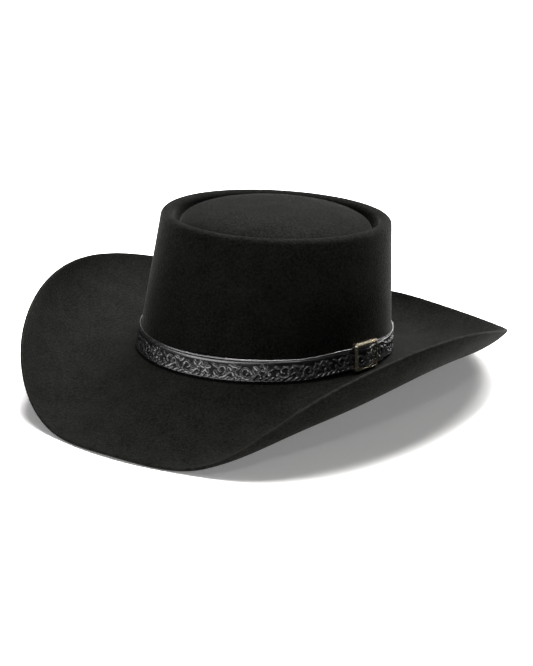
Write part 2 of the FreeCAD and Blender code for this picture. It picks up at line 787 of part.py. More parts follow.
def make_bow():
    """Ribbon bow over the foot of the sweatband's seam, and the knot wrapped round its middle."""
    loops = [bow_loop("BowLoopLeft", 1), bow_loop("BowLoopRight", -1)]
    tails = []
    for name, side in (("BowTailLeft", 1), ("BowTailRight", -1)):
        tail = box(name, "#bow_reach", "#bow_ribbon", "#bow_width - 2 * #tail_margin")
        slope = size("tail_drop") if side > 0 else 180 - size("tail_drop")
        drop = Rotation(Vector(0, 1, 0), slope)
        half_tail = size("bow_width") / 2 - size("tail_margin")
        corner = Vector(0, size("bow_depth") / 2 - size("bow_ribbon"), -side * half_tail)
        tail.Placement = Placement(corner, bow_swing(side).multiply(drop))
        tails.append(tail)
    middle = box("BowMiddle", "2", "#bow_depth", "#bow_width")
    middle.Placement.Base = Vector(-1, -size("bow_depth") / 2, -size("bow_width") / 2)
    inside_face = -(size("sweat_thickness") + size("knot_depth") / 2 + size("bow_gap"))
    place = placed_on(sweat_point, BACK, inside_face, size("bow_height"))
    keep("bow_ribbon", fuse("BowRibbon", *loops, *tails, middle), place)

    body = doc.addObject("PartDesign::Body", "BowKnot")
    block = body.newObject("PartDesign::AdditiveBox", "KnotBlock")
    bind(block, Length="#knot_width", Width="#knot_depth", Height="#knot_height")
    whole = Vector(size("knot_width"), size("knot_depth"), size("knot_height"))
    block.Placement.Base = whole * -0.5
    doc.recompute()
    rounds = body.newObject("PartDesign::Fillet", "KnotRounds")
    rounds.Base = (block, ["Face1", "Face2"])
    bind(rounds, Radius="#knot_round")
    doc.recompute()
    passage = body.newObject("PartDesign::SubtractiveBox", "KnotPassage")
    bind(
        passage,
        Length="#knot_width * 2",
        Width="#bow_depth + #knot_ease",
        Height="#bow_width + #knot_side_ease",
    )
    depth = size("bow_depth") + size("knot_ease")
    height = size("bow_width") + size("knot_side_ease")
    passage.Placement.Base = Vector(size("knot_width") * 2, depth, height) * -0.5
    keep("bow_knot", body, place)


def origin_plane(body, role):
    """Origin plane of a body by its role."""
    return next(plane for plane in body.Origin.OriginFeatures if plane.Role == role)


def rectangle_sketch(body, name, width, height, foot):
    """Sketch on the body's XZ plane: a rectangle centred on Z, its foot at a height."""
    sketch = body.newObject("Sketcher::SketchObject", name)
    sketch.AttachmentSupport = [(origin_plane(body, "XZ_Plane"), "")]
    sketch.MapMode = "FlatFace"
    half, low, high = 10.0, 1.0, 9.0
    corners = [Vector(x, y, 0) for x, y in ((-half, low), (half, low), (half, high), (-half, high))]
    for i in range(4):
        sketch.addGeometry(Part.LineSegment(corners[i], corners[(i + 1) % 4]), False)
    for i in range(4):
        sketch.addConstraint(Sketcher.Constraint("Coincident", i, 2, (i + 1) % 4, 1))
    for i, direction in ((1, "Vertical"), (2, "Horizontal"), (3, "Vertical")):
        sketch.addConstraint(Sketcher.Constraint(direction, i))
    sketch.addConstraint(Sketcher.Constraint("Symmetric", 0, 1, 0, 2, -2))
    for kind, line, value, expression in (
        ("DistanceX", (0, 1, 0, 2), 2 * half, width),
        ("DistanceY", (1, 1, 1, 2), high - low, height),
        ("DistanceY", (-1, 1, 0, 1), low, foot),
    ):
        if expression == "0":
            sketch.addConstraint(Sketcher.Constraint("PointOnObject", 0, 1, -1))
            continue
        index = sketch.addConstraint(Sketcher.Constraint(kind, *line, value))
        sketch.setExpression(f"Constraints[{index}]", expression.replace("#", "Dimensions."))
    return sketch


def buckle_place(outward, height):
    """Placement at the buckle, outward from the felt and up from the middle of its window."""
    middle = placed_on(wall_point, buckle_turn(), 0, band_middle(buckle_turn()))
    return middle.multiply(Placement(Vector(0, outward, height), Rotation()))


NEAR = 0.05


def make_buckle():
    """Bevelled slide: two deep rails, two slim side bars in front of the leather, and a middle bar."""
    body = doc.addObject("PartDesign::Body", "BuckleFrame")
    whole = "#buckle_lower_bar + #buckle_window + #buckle_upper_bar"
    outline = rectangle_sketch(body, "FrameOutline", "#buckle_width", whole, "0")
    plate = body.newObject("PartDesign::Pad", "FramePlate")
    plate.Profile = outline
    plate.Reversed = True
    bind(plate, Length="#buckle_depth")
    doc.recompute()
    corners = body.newObject("PartDesign::Fillet", "FrameCorners")
    across = [
        f"Edge{i}"
        for i, edge in enumerate(plate.Shape.Edges, start=1)
        if abs(edge.tangentAt(edge.FirstParameter).y) > 1 - NEAR
    ]
    corners.Base = (plate, across)
    bind(corners, Radius="#buckle_corner")
    doc.recompute()
    inner = "#buckle_width - 2 * #buckle_side_bar"
    tall, rail = "#buckle_window", "#buckle_lower_bar"
    window_sketch = rectangle_sketch(body, "WindowOutline", inner, tall, rail)
    window = body.newObject("PartDesign::Pocket", "Window")
    window.Profile = window_sketch
    window.Type = "ThroughAll"
    window.Reversed = False
    doc.recompute()
    relief_sketch = rectangle_sketch(body, "ReliefOutline", "#buckle_width * 2", tall, rail)
    relief = body.newObject("PartDesign::Pocket", "Relief")
    relief.Profile = relief_sketch
    bind(relief, Length="#buckle_relief")
    doc.recompute()
    half_inner = size("buckle_width") / 2 - size("buckle_side_bar") + NEAR
    low = size("buckle_lower_bar") - NEAR
    high = size("buckle_lower_bar") + size("buckle_window") + NEAR
    rim = []
    for i, edge in enumerate(relief.Shape.Edges, start=1):
        middle = edge.BoundBox.Center
        outside = abs(middle.x) > half_inner or not low < middle.z < high
        if edge.BoundBox.YMin > size("buckle_depth") - NEAR and outside:
            rim.append(f"Edge{i}")
    bevel = body.newObject("PartDesign::Chamfer", "FrameBevel")
    bevel.Base = (relief, rim)
    bind(bevel, Size="#buckle_bevel")
    doc.recompute()
    foot = -size("buckle_window") / 2 - size("buckle_lower_bar")
    keep("buckle_frame", body, buckle_place(size("buckle_back"), foot))

    bar = doc.addObject("Part::Cylinder", "MiddleBar")
    bind(bar, Radius="#bar_radius", Height="#buckle_window + 2 * #bar_rebate")
    bar_foot = -size("buckle_window") / 2 - size("bar_rebate")
    keep("buckle_bar", bar, buckle_place(size("bar_offset"), bar_foot))


def make_rivets():
    """Two rivets through the leather folded back behind the buckle's middle bar."""
    turn = buckle_turn() + size("rivet_offset") / wall_rate()
    inset = size("rivet_inset")
    inner = size("band_clearance") + inset
    outer = tongue_offset(size("rivet_offset")) + size("band_thickness") / 2 - inset
    rivets = []
    for name, side in (("RivetLower", -1), ("RivetUpper", 1)):
        rivet = doc.addObject("Part::Cylinder", name)
        bind(rivet, Radius="#rivet_radius")
        rivet.Height = outer - inner
        rivet.Placement = Placement(
            Vector(0, 0, side * size("rivet_spacing") / 2), Rotation(Vector(1, 0, 0), -90)
        )
        rivets.append(rivet)
    place = placed_on(wall_point, turn, inner, band_middle(turn))
    pair = doc.addObject("Part::Compound", "FoldRivets")
    pair.Links = rivets
    keep("fold_rivets", pair, place)


# ---------------------------------------------------------------- the assembly

feature("felt_body", felt_shape())
feature("hatband_strap", hatband_shape())
make_lining()
make_sweatband()
make_reed()
make_bow()
make_buckle()
make_rivets()
doc.recompute()

lean = Placement(Vector(), Rotation(Vector(1, 0, 0), -size("lean_back")))
leaning = nodes["felt_body"][0].Shape.copy()
leaning.Placement = lean
reach = leaning.optimalBoundingBox(True, False)
stand = Placement(Vector(0, -(reach.YMin + reach.YMax) / 2, -reach.ZMin), lean.Rotation)

for thing, local in nodes.values():
    thing.Placement = stand.multiply(local)
doc.recompute()

faults = [item.Name for item in doc.Objects if {"Invalid", "Error"} & set(item.State)]
for label, (thing, _) in nodes.items():
    shape = thing.Shape
    if shape.isNull() or not shape.isValid() or not shape.Solids or shape.Volume <= 0:
        faults.append(label)
if faults:
    raise RuntimeError(f"not built: {faults}")

os.makedirs("parts", exist_ok=True)
for label, (thing, _) in nodes.items():
    thing.Shape.exportStep(f"parts/{label}.step")
    print(f"{label}: {len(thing.Shape.Solids)} solid(s), {thing.Shape.Volume / 1000:.2f} cm3")
hinge = stand.multiply(buckle_place(size("bar_offset"), 0))
print("brim", round(reach.XLength, 1), "by", round(reach.YLength, 1), "mm, stand", stand)
print("buckle hinge at", hinge.Base, "along", hinge.Rotation.multVec(UP))
print("crown axis", lean.Rotation.multVec(UP))
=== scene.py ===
"""Black felt hat with a domed gambler crown, an embossed leather band and a polished slide buckle."""

import logging
import math
from dataclasses import dataclass, field
from enum import Enum
from typing import Sequence

import bmesh
import bpy
import numpy as np
from mathutils import Matrix, Vector


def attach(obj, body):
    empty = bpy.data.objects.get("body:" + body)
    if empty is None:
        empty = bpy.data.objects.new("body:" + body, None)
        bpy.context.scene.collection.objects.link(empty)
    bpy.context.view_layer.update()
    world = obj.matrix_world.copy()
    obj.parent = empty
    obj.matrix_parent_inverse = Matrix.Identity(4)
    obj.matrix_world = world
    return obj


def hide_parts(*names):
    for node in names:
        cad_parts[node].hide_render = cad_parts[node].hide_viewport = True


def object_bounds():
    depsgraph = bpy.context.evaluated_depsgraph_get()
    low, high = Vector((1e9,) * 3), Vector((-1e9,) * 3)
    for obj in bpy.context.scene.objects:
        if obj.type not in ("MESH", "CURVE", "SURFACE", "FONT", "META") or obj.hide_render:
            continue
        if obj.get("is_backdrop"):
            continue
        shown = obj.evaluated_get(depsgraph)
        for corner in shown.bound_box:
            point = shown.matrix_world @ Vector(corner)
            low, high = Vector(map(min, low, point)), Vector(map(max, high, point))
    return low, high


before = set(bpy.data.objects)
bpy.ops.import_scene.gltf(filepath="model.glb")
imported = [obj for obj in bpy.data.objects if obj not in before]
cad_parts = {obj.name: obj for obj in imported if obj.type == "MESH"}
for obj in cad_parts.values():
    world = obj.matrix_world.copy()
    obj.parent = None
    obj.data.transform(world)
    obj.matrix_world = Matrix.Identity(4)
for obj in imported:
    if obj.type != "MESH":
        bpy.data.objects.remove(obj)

log = logging.getLogger("hat")
MM = 0.001
WHITE = (1.0, 1.0, 1.0)
Colour = tuple[float, float, float]
Mottle = tuple[float, float, float]
Socket = bpy.types.NodeSocket


# ------------------------------------------------------------------ meshes


def grid_faces(
    rows: int, columns: int, wrap_rows: bool, wrap_columns: bool
) -> list[tuple[int, ...]]:
    """Quads over a grid of points stored row by row.

    Args:
        rows: number of rows.
        columns: points in a row.
        wrap_rows: whether the last row joins the first.
        wrap_columns: whether each row closes on itself.

    Returns:
        One tuple of four point numbers for each quad.
    """
    last_row = rows if wrap_rows else rows - 1
    last_column = columns if wrap_columns else columns - 1
    i, j = np.meshgrid(np.arange(last_row), np.arange(last_column), indexing="ij")
    below = ((i + 1) % rows) * columns
    right = (j + 1) % columns
    quads = np.stack([i * columns + j, i * columns + right, below + right, below + j], axis=-1)
    return [tuple(quad) for quad in quads.reshape(-1, 4).tolist()]


def closed_object(
    name: str, points: np.ndarray, faces: list[tuple[int, ...]]
) -> bpy.types.Object:
    """Make a smooth mesh object whose faces all point outward.

    Args:
        name: name of the piece.
        points: places of its points in the row frame, in metres.
        faces: point numbers of each face.

    Returns:
        The new object, at the origin.
    """
    mesh = bpy.data.meshes.new(name)
    mesh.from_pydata(points.tolist(), [], faces)
    shell = bmesh.new()
    shell.from_mesh(mesh)
    bmesh.ops.recalc_face_normals(shell, faces=shell.faces)
    shell.to_mesh(mesh)
    shell.free()
    mesh.polygons.foreach_set("use_smooth", [True] * len(mesh.polygons))
    piece = bpy.data.objects.new(name, mesh)
    bpy.context.collection.objects.link(piece)
    return piece


def strip_object(name: str, sections: np.ndarray, closed: bool) -> bpy.types.Object:
    """Carry a closed section along a strip.

    Args:
        name: name of the piece.
        sections: points as (station, point of the section, xyz), in metres.
        closed: whether the strip joins itself; if not, both ends are capped.

    Returns:
        The new object.
    """
    stations, around, _ = sections.shape
    faces = grid_faces(stations, around, closed, True)
    if not closed:
        faces.append(tuple(range(around)))
        faces.append(tuple((stations - 1) * around + i for i in reversed(range(around))))
    return closed_object(name, sections.reshape(-1, 3), faces)


def turned_object(name: str, rings: np.ndarray) -> bpy.types.Object:
    """Join rings from one middle to another into a closed skin.

    Args:
        name: name of the piece.
        rings: points as (ring, point of the ring, xyz), in metres.

    Returns:
        The new object.
    """
    count, around, _ = rings.shape
    faces = grid_faces(count, around, False, True)
    first, last = count * around, count * around + 1
    foot = (count - 1) * around
    for i in range(around):
        after = (i + 1) % around
        faces.append((first, after, i))
        faces.append((last, foot + i, foot + after))
    middles = np.stack([rings[0].mean(0), rings[-1].mean(0)])
    return closed_object(name, np.concatenate([rings.reshape(-1, 3), middles]), faces)


def point_values(piece: bpy.types.Object, name: str, values: np.ndarray) -> None:
    """Store one number for each point of a piece.

    Args:
        piece: the piece.
        name: name of the attribute.
        values: the numbers, in the order of the points.
    """
    attribute = piece.data.attributes.new(name, "FLOAT", "POINT")
    attribute.data.foreach_set("value", np.asarray(values, np.float32))


def smooth_step(share: np.ndarray | float) -> np.ndarray:
    """0 below 0, 1 above 1, and level at both ends."""
    share = np.clip(share, 0.0, 1.0)
    return share * share * (3 - 2 * share)


def natural_curve(travel: np.ndarray, values: np.ndarray, at: np.ndarray) -> np.ndarray:
    """Smooth curve through values.

    Args:
        travel: rising distances of the values.
        values: array of (value, component).
        at: distances to read.

    Returns:
        Array of (distance, component).
    """
    gap = np.diff(travel)
    size = len(travel)
    matrix = np.eye(size)
    right = np.zeros_like(values)
    for i in range(1, size - 1):
        matrix[i, i - 1 : i + 2] = gap[i - 1], 2 * (gap[i - 1] + gap[i]), gap[i]
        ahead = (values[i + 1] - values[i]) / gap[i]
        right[i] = 6 * (ahead - (values[i] - values[i - 1]) / gap[i - 1])
    bend = np.linalg.solve(matrix, right)
    k = np.clip(np.searchsorted(travel, at, side="right") - 1, 0, size - 2)
    width = gap[k][:, None]
    before = ((travel[k + 1] - at)[:, None]) / width
    after = 1 - before
    cubic = (before**3 - before) * bend[k] + (after**3 - after) * bend[k + 1]
    return before * values[k] + after * values[k + 1] + cubic * width**2 / 6


# ------------------------------------------------------------------ the hat's form


@dataclass(frozen=True)
class HatForm:
    """Shape of the hat's surfaces, in millimetres on the level hat: -Y front, +X the wearer's left."""

    felt: float = 2.6
    base_length: float = 104.1
    base_width: float = 96.7
    base_centre: float = -3.6
    base_wave: float = 0.5
    ridge_length: float = 82.5
    ridge_width: float = 85.6
    ridge_centre: float = 5.2
    ridge_height: float = 98.3
    ridge_roll: float = 5.0
    groove_radius: float = 2.5
    groove_height: float = 90.0
    pad_spring: float = 93.3
    pad_rise: float = 17.7
    pad_squareness: float = 2.6
    pad_flat: float = 12.0
    break_radius: float = 1.2
    brim_drop: float = 3.0
    sweat_foot: float = 0.6
    sweat_top: float = 55.0
    sweat_gap_foot: float = 1.2
    sweat_gap_top: float = 2.6
    width: tuple[float, ...] = (92.5, 105.0, 99.5, 98.5, 103.0)
    start: tuple[float, ...] = (-27.0, -33.0, 7.0, -19.0, -23.5)
    edge: tuple[float, ...] = (-18.5, 51.0, 84.0, 40.5, 62.0)
    curl: tuple[float, ...] = (3.6, 1.8, 2.6, 1.5, 2.2)
    sweep: tuple[float, ...] = (18.0, 12.5, -18.0)
    lean: float = 4.0
    stand: tuple[float, float, float] = (0.0, 0.822107, 30.2558)

    def row(self, points: np.ndarray) -> np.ndarray:
        """Points of the level hat, in the row frame and in metres.

        Args:
            points: places on the level hat, in millimetres.

        Returns:
            The same places in the row frame.
        """
        lean = math.radians(self.lean)
        x, y, z = points[..., 0], points[..., 1], points[..., 2]
        turned = np.stack(
            [x, y * math.cos(lean) + z * math.sin(lean), z * math.cos(lean) - y * math.sin(lean)], axis=-1
        )
        return (turned + np.array(self.stand)) * MM

    @staticmethod
    def around(values: Sequence[float], turn: np.ndarray) -> np.ndarray:
        """Even curve through equally spaced values from front to back.

        Args:
            values: values from the front to the back.
            turn: turns from the front towards the wearer's left, in radians.

        Returns:
            The value at each turn, the same left and right.
        """
        last = len(values) - 1
        ends = np.array([0.5] + [1.0] * (last - 1) + [0.5])
        total = np.zeros_like(turn)
        for wave in range(last + 1):
            share = sum(ends[i] * v * math.cos(wave * i * math.pi / last) for i, v in enumerate(values))
            total = total + ends[wave] * share * np.cos(wave * turn)
        return total * 2 / last

    @staticmethod
    def mirrored(values: Sequence[float], turn: np.ndarray) -> np.ndarray:
        """Curve through values that is opposite left and right.

        Args:
            values: values between the front and the back.
            turn: turns from the front towards the wearer's left, in radians.

        Returns:
            The value at each turn.
        """
        steps = len(values) + 1
        total = np.zeros_like(turn)
        for wave in range(1, steps):
            share = sum(v * math.sin(wave * i * math.pi / steps) for i, v in enumerate(values, start=1))
            total = total + share * np.sin(wave * turn)
        return total * 2 / steps

    @staticmethod
    def oval(
        length: float, width: float, centre: float, height: np.ndarray | float, turn: np.ndarray
    ) -> np.ndarray:
        """Points of an oval at turns from the front towards the wearer's left."""
        height = np.broadcast_to(height, turn.shape)
        return np.stack([width * np.sin(turn), centre - length * np.cos(turn), height], axis=-1)

    def wall_oval(self, height: np.ndarray | float) -> tuple[np.ndarray, np.ndarray, np.ndarray]:
        """Half length, half width and centre of the crown's outside at a height.

        Args:
            height: height above the crown's base, in millimetres.

        Returns:
            Half length, half width and centre along Y, in millimetres.
        """
        share = np.asarray(height) / self.ridge_height
        length = self.base_length + (self.ridge_length + self.ridge_roll - self.base_length) * share
        width = self.base_width + (self.ridge_width + self.ridge_roll - self.base_width) * share
        centre = self.base_centre + (self.ridge_centre - self.base_centre) * share
        return length, width, centre

    def wall(
        self, turn: np.ndarray, outward: np.ndarray | float, height: np.ndarray | float
    ) -> np.ndarray:
        """Points outward from the crown's outside at a height."""
        length, width, centre = self.wall_oval(height)
        return self.oval(length + outward, width + outward, centre, height, turn)

    def wave(self, turn: np.ndarray) -> np.ndarray:
        """Rise of the crown's base."""
        return -self.base_wave * np.cos(2 * turn)

    def heading(self, turn: np.ndarray) -> np.ndarray:
        """Direction in plan of the brim's section.

        Args:
            turn: turns from the front towards the wearer's left, in radians.

        Returns:
            A level direction of length 1 for each turn.
        """
        outward = np.arctan2(-np.cos(turn) / self.base_length, np.sin(turn) / self.base_width)
        angle = outward - np.radians(self.mirrored(self.sweep, turn))
        return np.stack([np.cos(angle), np.sin(angle), np.zeros_like(angle)], axis=-1)

    def brim_base(self, turn: np.ndarray) -> np.ndarray:
        """Point under the crown's base where the brim's underside starts."""
        height = self.wave(turn) - self.brim_drop
        return self.oval(self.base_length, self.base_width, self.base_centre, height, turn)

    def brim(self, turn: np.ndarray, reach: float) -> np.ndarray:
        """Underside of the brim, reach 0 at the crown and 1 at the edge.

        Args:
            turn: turns from the front towards the wearer's left, in radians.
            reach: share of the width along the curve.

        Returns:
            A point for each turn, in millimetres.
        """
        steps = 24
        start = np.radians(self.around(self.start, turn))
        edge = np.radians(self.around(self.edge, turn))
        curl = self.around(self.curl, turn)
        step = self.around(self.width, turn) * reach / steps
        run = np.zeros_like(turn)
        rise = np.zeros_like(turn)
        for i in range(steps):
            slope = start + (edge - start) * (reach * (i + 0.5) / steps) ** curl
            run = run + step * np.cos(slope)
            rise = rise + step * np.sin(slope)
        up = np.array([0.0, 0.0, 1.0])
        return self.brim_base(turn) + self.heading(turn) * run[..., None] + up * rise[..., None]

    def brim_frame(self, turn: np.ndarray, reach: float) -> tuple[np.ndarray, np.ndarray]:
        """Outward direction and upward normal of the brim.

        Args:
            turn: turns from the front towards the wearer's left, in radians.
            reach: 0 at the crown and 1 at the edge.

        Returns:
            The two directions at each turn, of length 1.
        """
        nudge = 0.004
        outward = self.brim(turn, reach) - self.brim(turn, reach - nudge)
        along = self.brim(turn + nudge, reach) - self.brim(turn - nudge, reach)
        normal = np.cross(outward, along)
        normal /= np.linalg.norm(normal, axis=-1, keepdims=True)
        out = np.cross(along, normal)
        return out / np.linalg.norm(out, axis=-1, keepdims=True), normal

    def sweat(self, turn: np.ndarray, outward: float, height: float) -> np.ndarray:
        """Points outward from the sweatband's outer face.

        Args:
            turn: turns from the front towards the wearer's left, in radians.
            outward: distance outward, negative towards the head.
            height: height above the crown's base.

        Returns:
            A point for each turn, in millimetres.
        """
        share = (height - self.sweat_foot) / (self.sweat_top - self.sweat_foot)
        gap = self.sweat_gap_foot + (self.sweat_gap_top - self.sweat_gap_foot) * share
        return self.wall(turn, outward - self.felt - gap, height)

    def place(
        self, turn: np.ndarray, outward: np.ndarray, height: np.ndarray
    ) -> tuple[np.ndarray, np.ndarray]:
        """Points on the crown's wall with the direction up the wall there.

        Args:
            turn: turns from the front towards the wearer's left, in radians.
            outward: distance from the crown's outside.
            height: heights above the crown's base.

        Returns:
            The points, and the directions up the wall, of length 1.
        """
        nudge, rise = 0.001, 1.0
        here = self.wall(turn, outward, height)
        along = self.wall(turn + nudge, outward, height) - here
        along /= np.linalg.norm(along, axis=-1, keepdims=True)
        out = np.cross(along, self.wall(turn, outward, height + rise) - here)
        out /= np.linalg.norm(out, axis=-1, keepdims=True)
        return here, np.cross(out, along)


# ------------------------------------------------------------------ shader helpers


class Wiring:
    """Short hand for the nodes of one material or node group."""

    def __init__(self, tree: bpy.types.NodeTree, material: bpy.types.Material | None = None) -> None:
        """Start on an empty tree.

        Args:
            tree: the tree to fill.
            material: the material whose tree it is, if it is one's.
        """
        self.tree = tree
        self.material = material
        tree.nodes.clear()

    def add(self, kind: str, inputs: dict | None = None, **settings: object) -> bpy.types.Node:
        """Add a node.

        Args:
            kind: Blender's name of the node type.
            inputs: values or sockets by the input's name or number.
            settings: properties of the node.

        Returns:
            The new node.
        """
        node = self.tree.nodes.new(kind)
        for name, value in settings.items():
            setattr(node, name, value)
        self.fill(node, inputs or {})
        return node

    def fill(self, node: bpy.types.Node, inputs: dict) -> None:
        """Give several inputs of a node their links or values."""
        for name, value in inputs.items():
            self.put(node.inputs[name], value)

    def put(self, socket: Socket, value: object) -> None:
        """Give a socket a link or a value.

        Args:
            socket: the input.
            value: a socket to link or a plain value.
        """
        if isinstance(value, bpy.types.NodeSocket):
            self.tree.links.new(value, socket)
        else:
            socket.default_value = value

    def group(self, tree: bpy.types.NodeTree, **inputs: object) -> bpy.types.Node:
        """Place a shared group with its inputs; an underscore in a name stands for a space."""
        spaced = {name.replace("_", " "): value for name, value in inputs.items()}
        return self.add("ShaderNodeGroup", spaced, node_tree=tree)

    def maths(self, operation: str, first: object, second: object = 0.0) -> Socket:
        """Result of one sum."""
        return self.add("ShaderNodeMath", {0: first, 1: second}, operation=operation).outputs[0]

    def span(
        self, value: Socket, low: float, high: float, to_low: float = 0.0, to_high: float = 1.0
    ) -> Socket:
        """Value carried from one span to another and kept inside it."""
        limits = {"From Min": low, "From Max": high, "To Min": to_low, "To Max": to_high}
        return self.add("ShaderNodeMapRange", {"Value": value, **limits}).outputs["Result"]

    def noise(self, position: Socket, scale: object, detail: float, output: str = "Fac") -> Socket:
        """Cloudy noise over a position in metres."""
        inputs = {"Vector": position, "Scale": scale, "Detail": detail}
        return self.add("ShaderNodeTexNoise", inputs).outputs[output]

    def attribute(self, name: str) -> Socket:
        """Number stored at the points of the piece."""
        return self.add("ShaderNodeAttribute", attribute_name=name).outputs["Fac"]

    def blend(self, share: object, first: object, second: object) -> Socket:
        """Colour between two.

        Args:
            share: 0 for the first colour and 1 for the second.
            first: a colour or a socket.
            second: a colour or a socket.

        Returns:
            The mixed colour's socket.
        """
        node = self.add("ShaderNodeMix", data_type="RGBA")
        self.fill(node, {"Factor": share, 6: first, 7: second})
        return node.outputs[2]

    def bump(
        self, height: Socket, distance: float, strength: float, normal: Socket | None = None
    ) -> Socket:
        """Normal from a height given as 0 to 1 over a distance in metres.

        Args:
            height: the height.
            distance: how high 1 stands.
            strength: share of the effect.
            normal: a coarser normal to build on.

        Returns:
            The normal's socket.
        """
        inputs = {"Height": height, "Distance": distance, "Strength": strength}
        if normal is not None:
            inputs["Normal"] = normal
        return self.add("ShaderNodeBump", inputs).outputs["Normal"]


def rgba(colour: Colour) -> tuple[float, float, float, float]:
    """Colour with full alpha."""
    return (*colour, 1.0)


def new_group(
    name: str, inputs: dict[str, tuple[str, object]], outputs: dict[str, str]
) -> bpy.types.NodeTree:
    """Make a shader group with its sockets.

    Args:
        name: name of the group.
        inputs: socket type and default by name.
        outputs: socket type by name.

    Returns:
        The empty group.
    """
    tree = bpy.data.node_groups.new(name, "ShaderNodeTree")
    for label, (kind, default) in inputs.items():
        socket = tree.interface.new_socket(label, in_out="INPUT", socket_type=kind)
        if default is not None:
            socket.default_value = default
    for label, kind in outputs.items():
        tree.interface.new_socket(label, in_out="OUTPUT", socket_type=kind)
    return tree


FLOAT, VECTOR, COLOUR = "NodeSocketFloat", "NodeSocketVector", "NodeSocketColor"


class Effects:
    """Shader groups that several finishes share."""

    def __init__(self) -> None:
        """Build each group once."""
        self.mottle = self.make_mottle()
        self.grain = self.make_grain()
        self.weave = self.make_weave()

    def make_mottle(self) -> bpy.types.NodeTree:
        """Cloudy change between two colours at a coarse and a fine scale.

        Returns:
            The group.
        """
        tree = new_group(
            "mottle",
            {
                "Position": (VECTOR, None),
                "Coarse": (FLOAT, 40.0),
                "Fine": (FLOAT, 400.0),
                "Fine Share": (FLOAT, 0.5),
                "Dark": (COLOUR, (0, 0, 0, 1)),
                "Light": (COLOUR, (1, 1, 1, 1)),
            },
            {"Colour": COLOUR, "Mask": FLOAT},
        )
        w = Wiring(tree)
        given = w.add("NodeGroupInput").outputs
        cloud = w.span(w.noise(given["Position"], given["Coarse"], 3.0), 0.3, 0.7)
        speckle = w.span(w.noise(given["Position"], given["Fine"], 4.0), 0.3, 0.7)
        mixed = w.add("ShaderNodeMix", data_type="FLOAT")
        w.fill(mixed, {"Factor": given["Fine Share"], 2: cloud, 3: speckle})
        colour = w.blend(mixed.outputs[0], given["Dark"], given["Light"])
        w.add("NodeGroupOutput", {"Colour": colour, "Mask": mixed.outputs[0]})
        return tree

    def make_grain(self) -> bpy.types.NodeTree:
        """Pebbled leather grain with fine creases between its cells.

        Returns:
            The group.
        """
        tree = new_group(
            "leather grain",
            {"Position": (VECTOR, None), "Scale": (FLOAT, 900.0), "Creases": (FLOAT, 0.5)},
            {"Height": FLOAT},
        )
        w = Wiring(tree)
        given = w.add("NodeGroupInput").outputs
        wobble = w.noise(given["Position"], 300.0, 2.0, "Color")
        reach = (0.002, 0.002, 0.002)
        shift = w.add("ShaderNodeVectorMath", {0: wobble, 1: reach}, operation="MULTIPLY").outputs[0]
        moved = w.add("ShaderNodeVectorMath", {0: given["Position"], 1: shift}, operation="ADD")
        cells = w.add(
            "ShaderNodeTexVoronoi",
            {"Vector": moved.outputs[0], "Scale": given["Scale"]},
            feature="DISTANCE_TO_EDGE",
        )
        pebble = w.span(cells.outputs["Distance"], 0.0, 0.25)
        crease = w.maths("MULTIPLY", w.noise(given["Position"], 120.0, 6.0), given["Creases"])
        w.add("NodeGroupOutput", {"Height": w.maths("ADD", pebble, crease)})
        return tree

    def make_weave(self) -> bpy.types.NodeTree:
        """Plain weave of warp and weft over two distances in metres.

        Returns:
            The group.
        """
        tree = new_group(
            "weave",
            {"Along": (FLOAT, 0.0), "Across": (FLOAT, 0.0), "Threads": (FLOAT, 2500.0)},
            {"Height": FLOAT},
        )
        w = Wiring(tree)
        given = w.add("NodeGroupInput").outputs
        waves = []
        for name in ("Along", "Across"):
            angle = w.maths("MULTIPLY", given[name], given["Threads"])
            waves.append(w.maths("SINE", w.maths("MULTIPLY", angle, 2 * math.pi)))
        both = w.maths("MULTIPLY", waves[0], waves[1])
        w.add("NodeGroupOutput", {"Height": w.span(both, -1.0, 1.0)})
        return tree


EFFECTS = Effects()


def new_material(name: str) -> tuple[Wiring, bpy.types.Node, Socket]:
    """Start a material.

    Args:
        name: name of the material.

    Returns:
        Its wiring, its shader and the position on the object in metres.
    """
    material = bpy.data.materials.new(name)
    material.use_nodes = True
    w = Wiring(material.node_tree, material)
    shader = w.add("ShaderNodeBsdfPrincipled")
    w.add("ShaderNodeOutputMaterial", {"Surface": shader.outputs[0]})
    position = w.add("ShaderNodeTexCoord").outputs["Object"]
    return w, shader, position


def mottled(
    w: Wiring, position: Socket, mottle: Mottle, dark: Colour, light: Colour
) -> tuple[Socket, Socket]:
    """Place the mottle group in a material.

    Args:
        w: the material's wiring.
        position: position on the piece.
        mottle: coarse scale, fine scale and the fine one's share.
        dark: colour of the dark spots.
        light: colour of the light spots.

    Returns:
        The colour and the mask from dark to light.
    """
    coarse, fine, share = mottle
    tones = {"Dark": rgba(dark), "Light": rgba(light)}
    node = w.group(EFFECTS.mottle, Position=position, Coarse=coarse, Fine=fine, Fine_Share=share, **tones)
    return node.outputs["Colour"], node.outputs["Mask"]


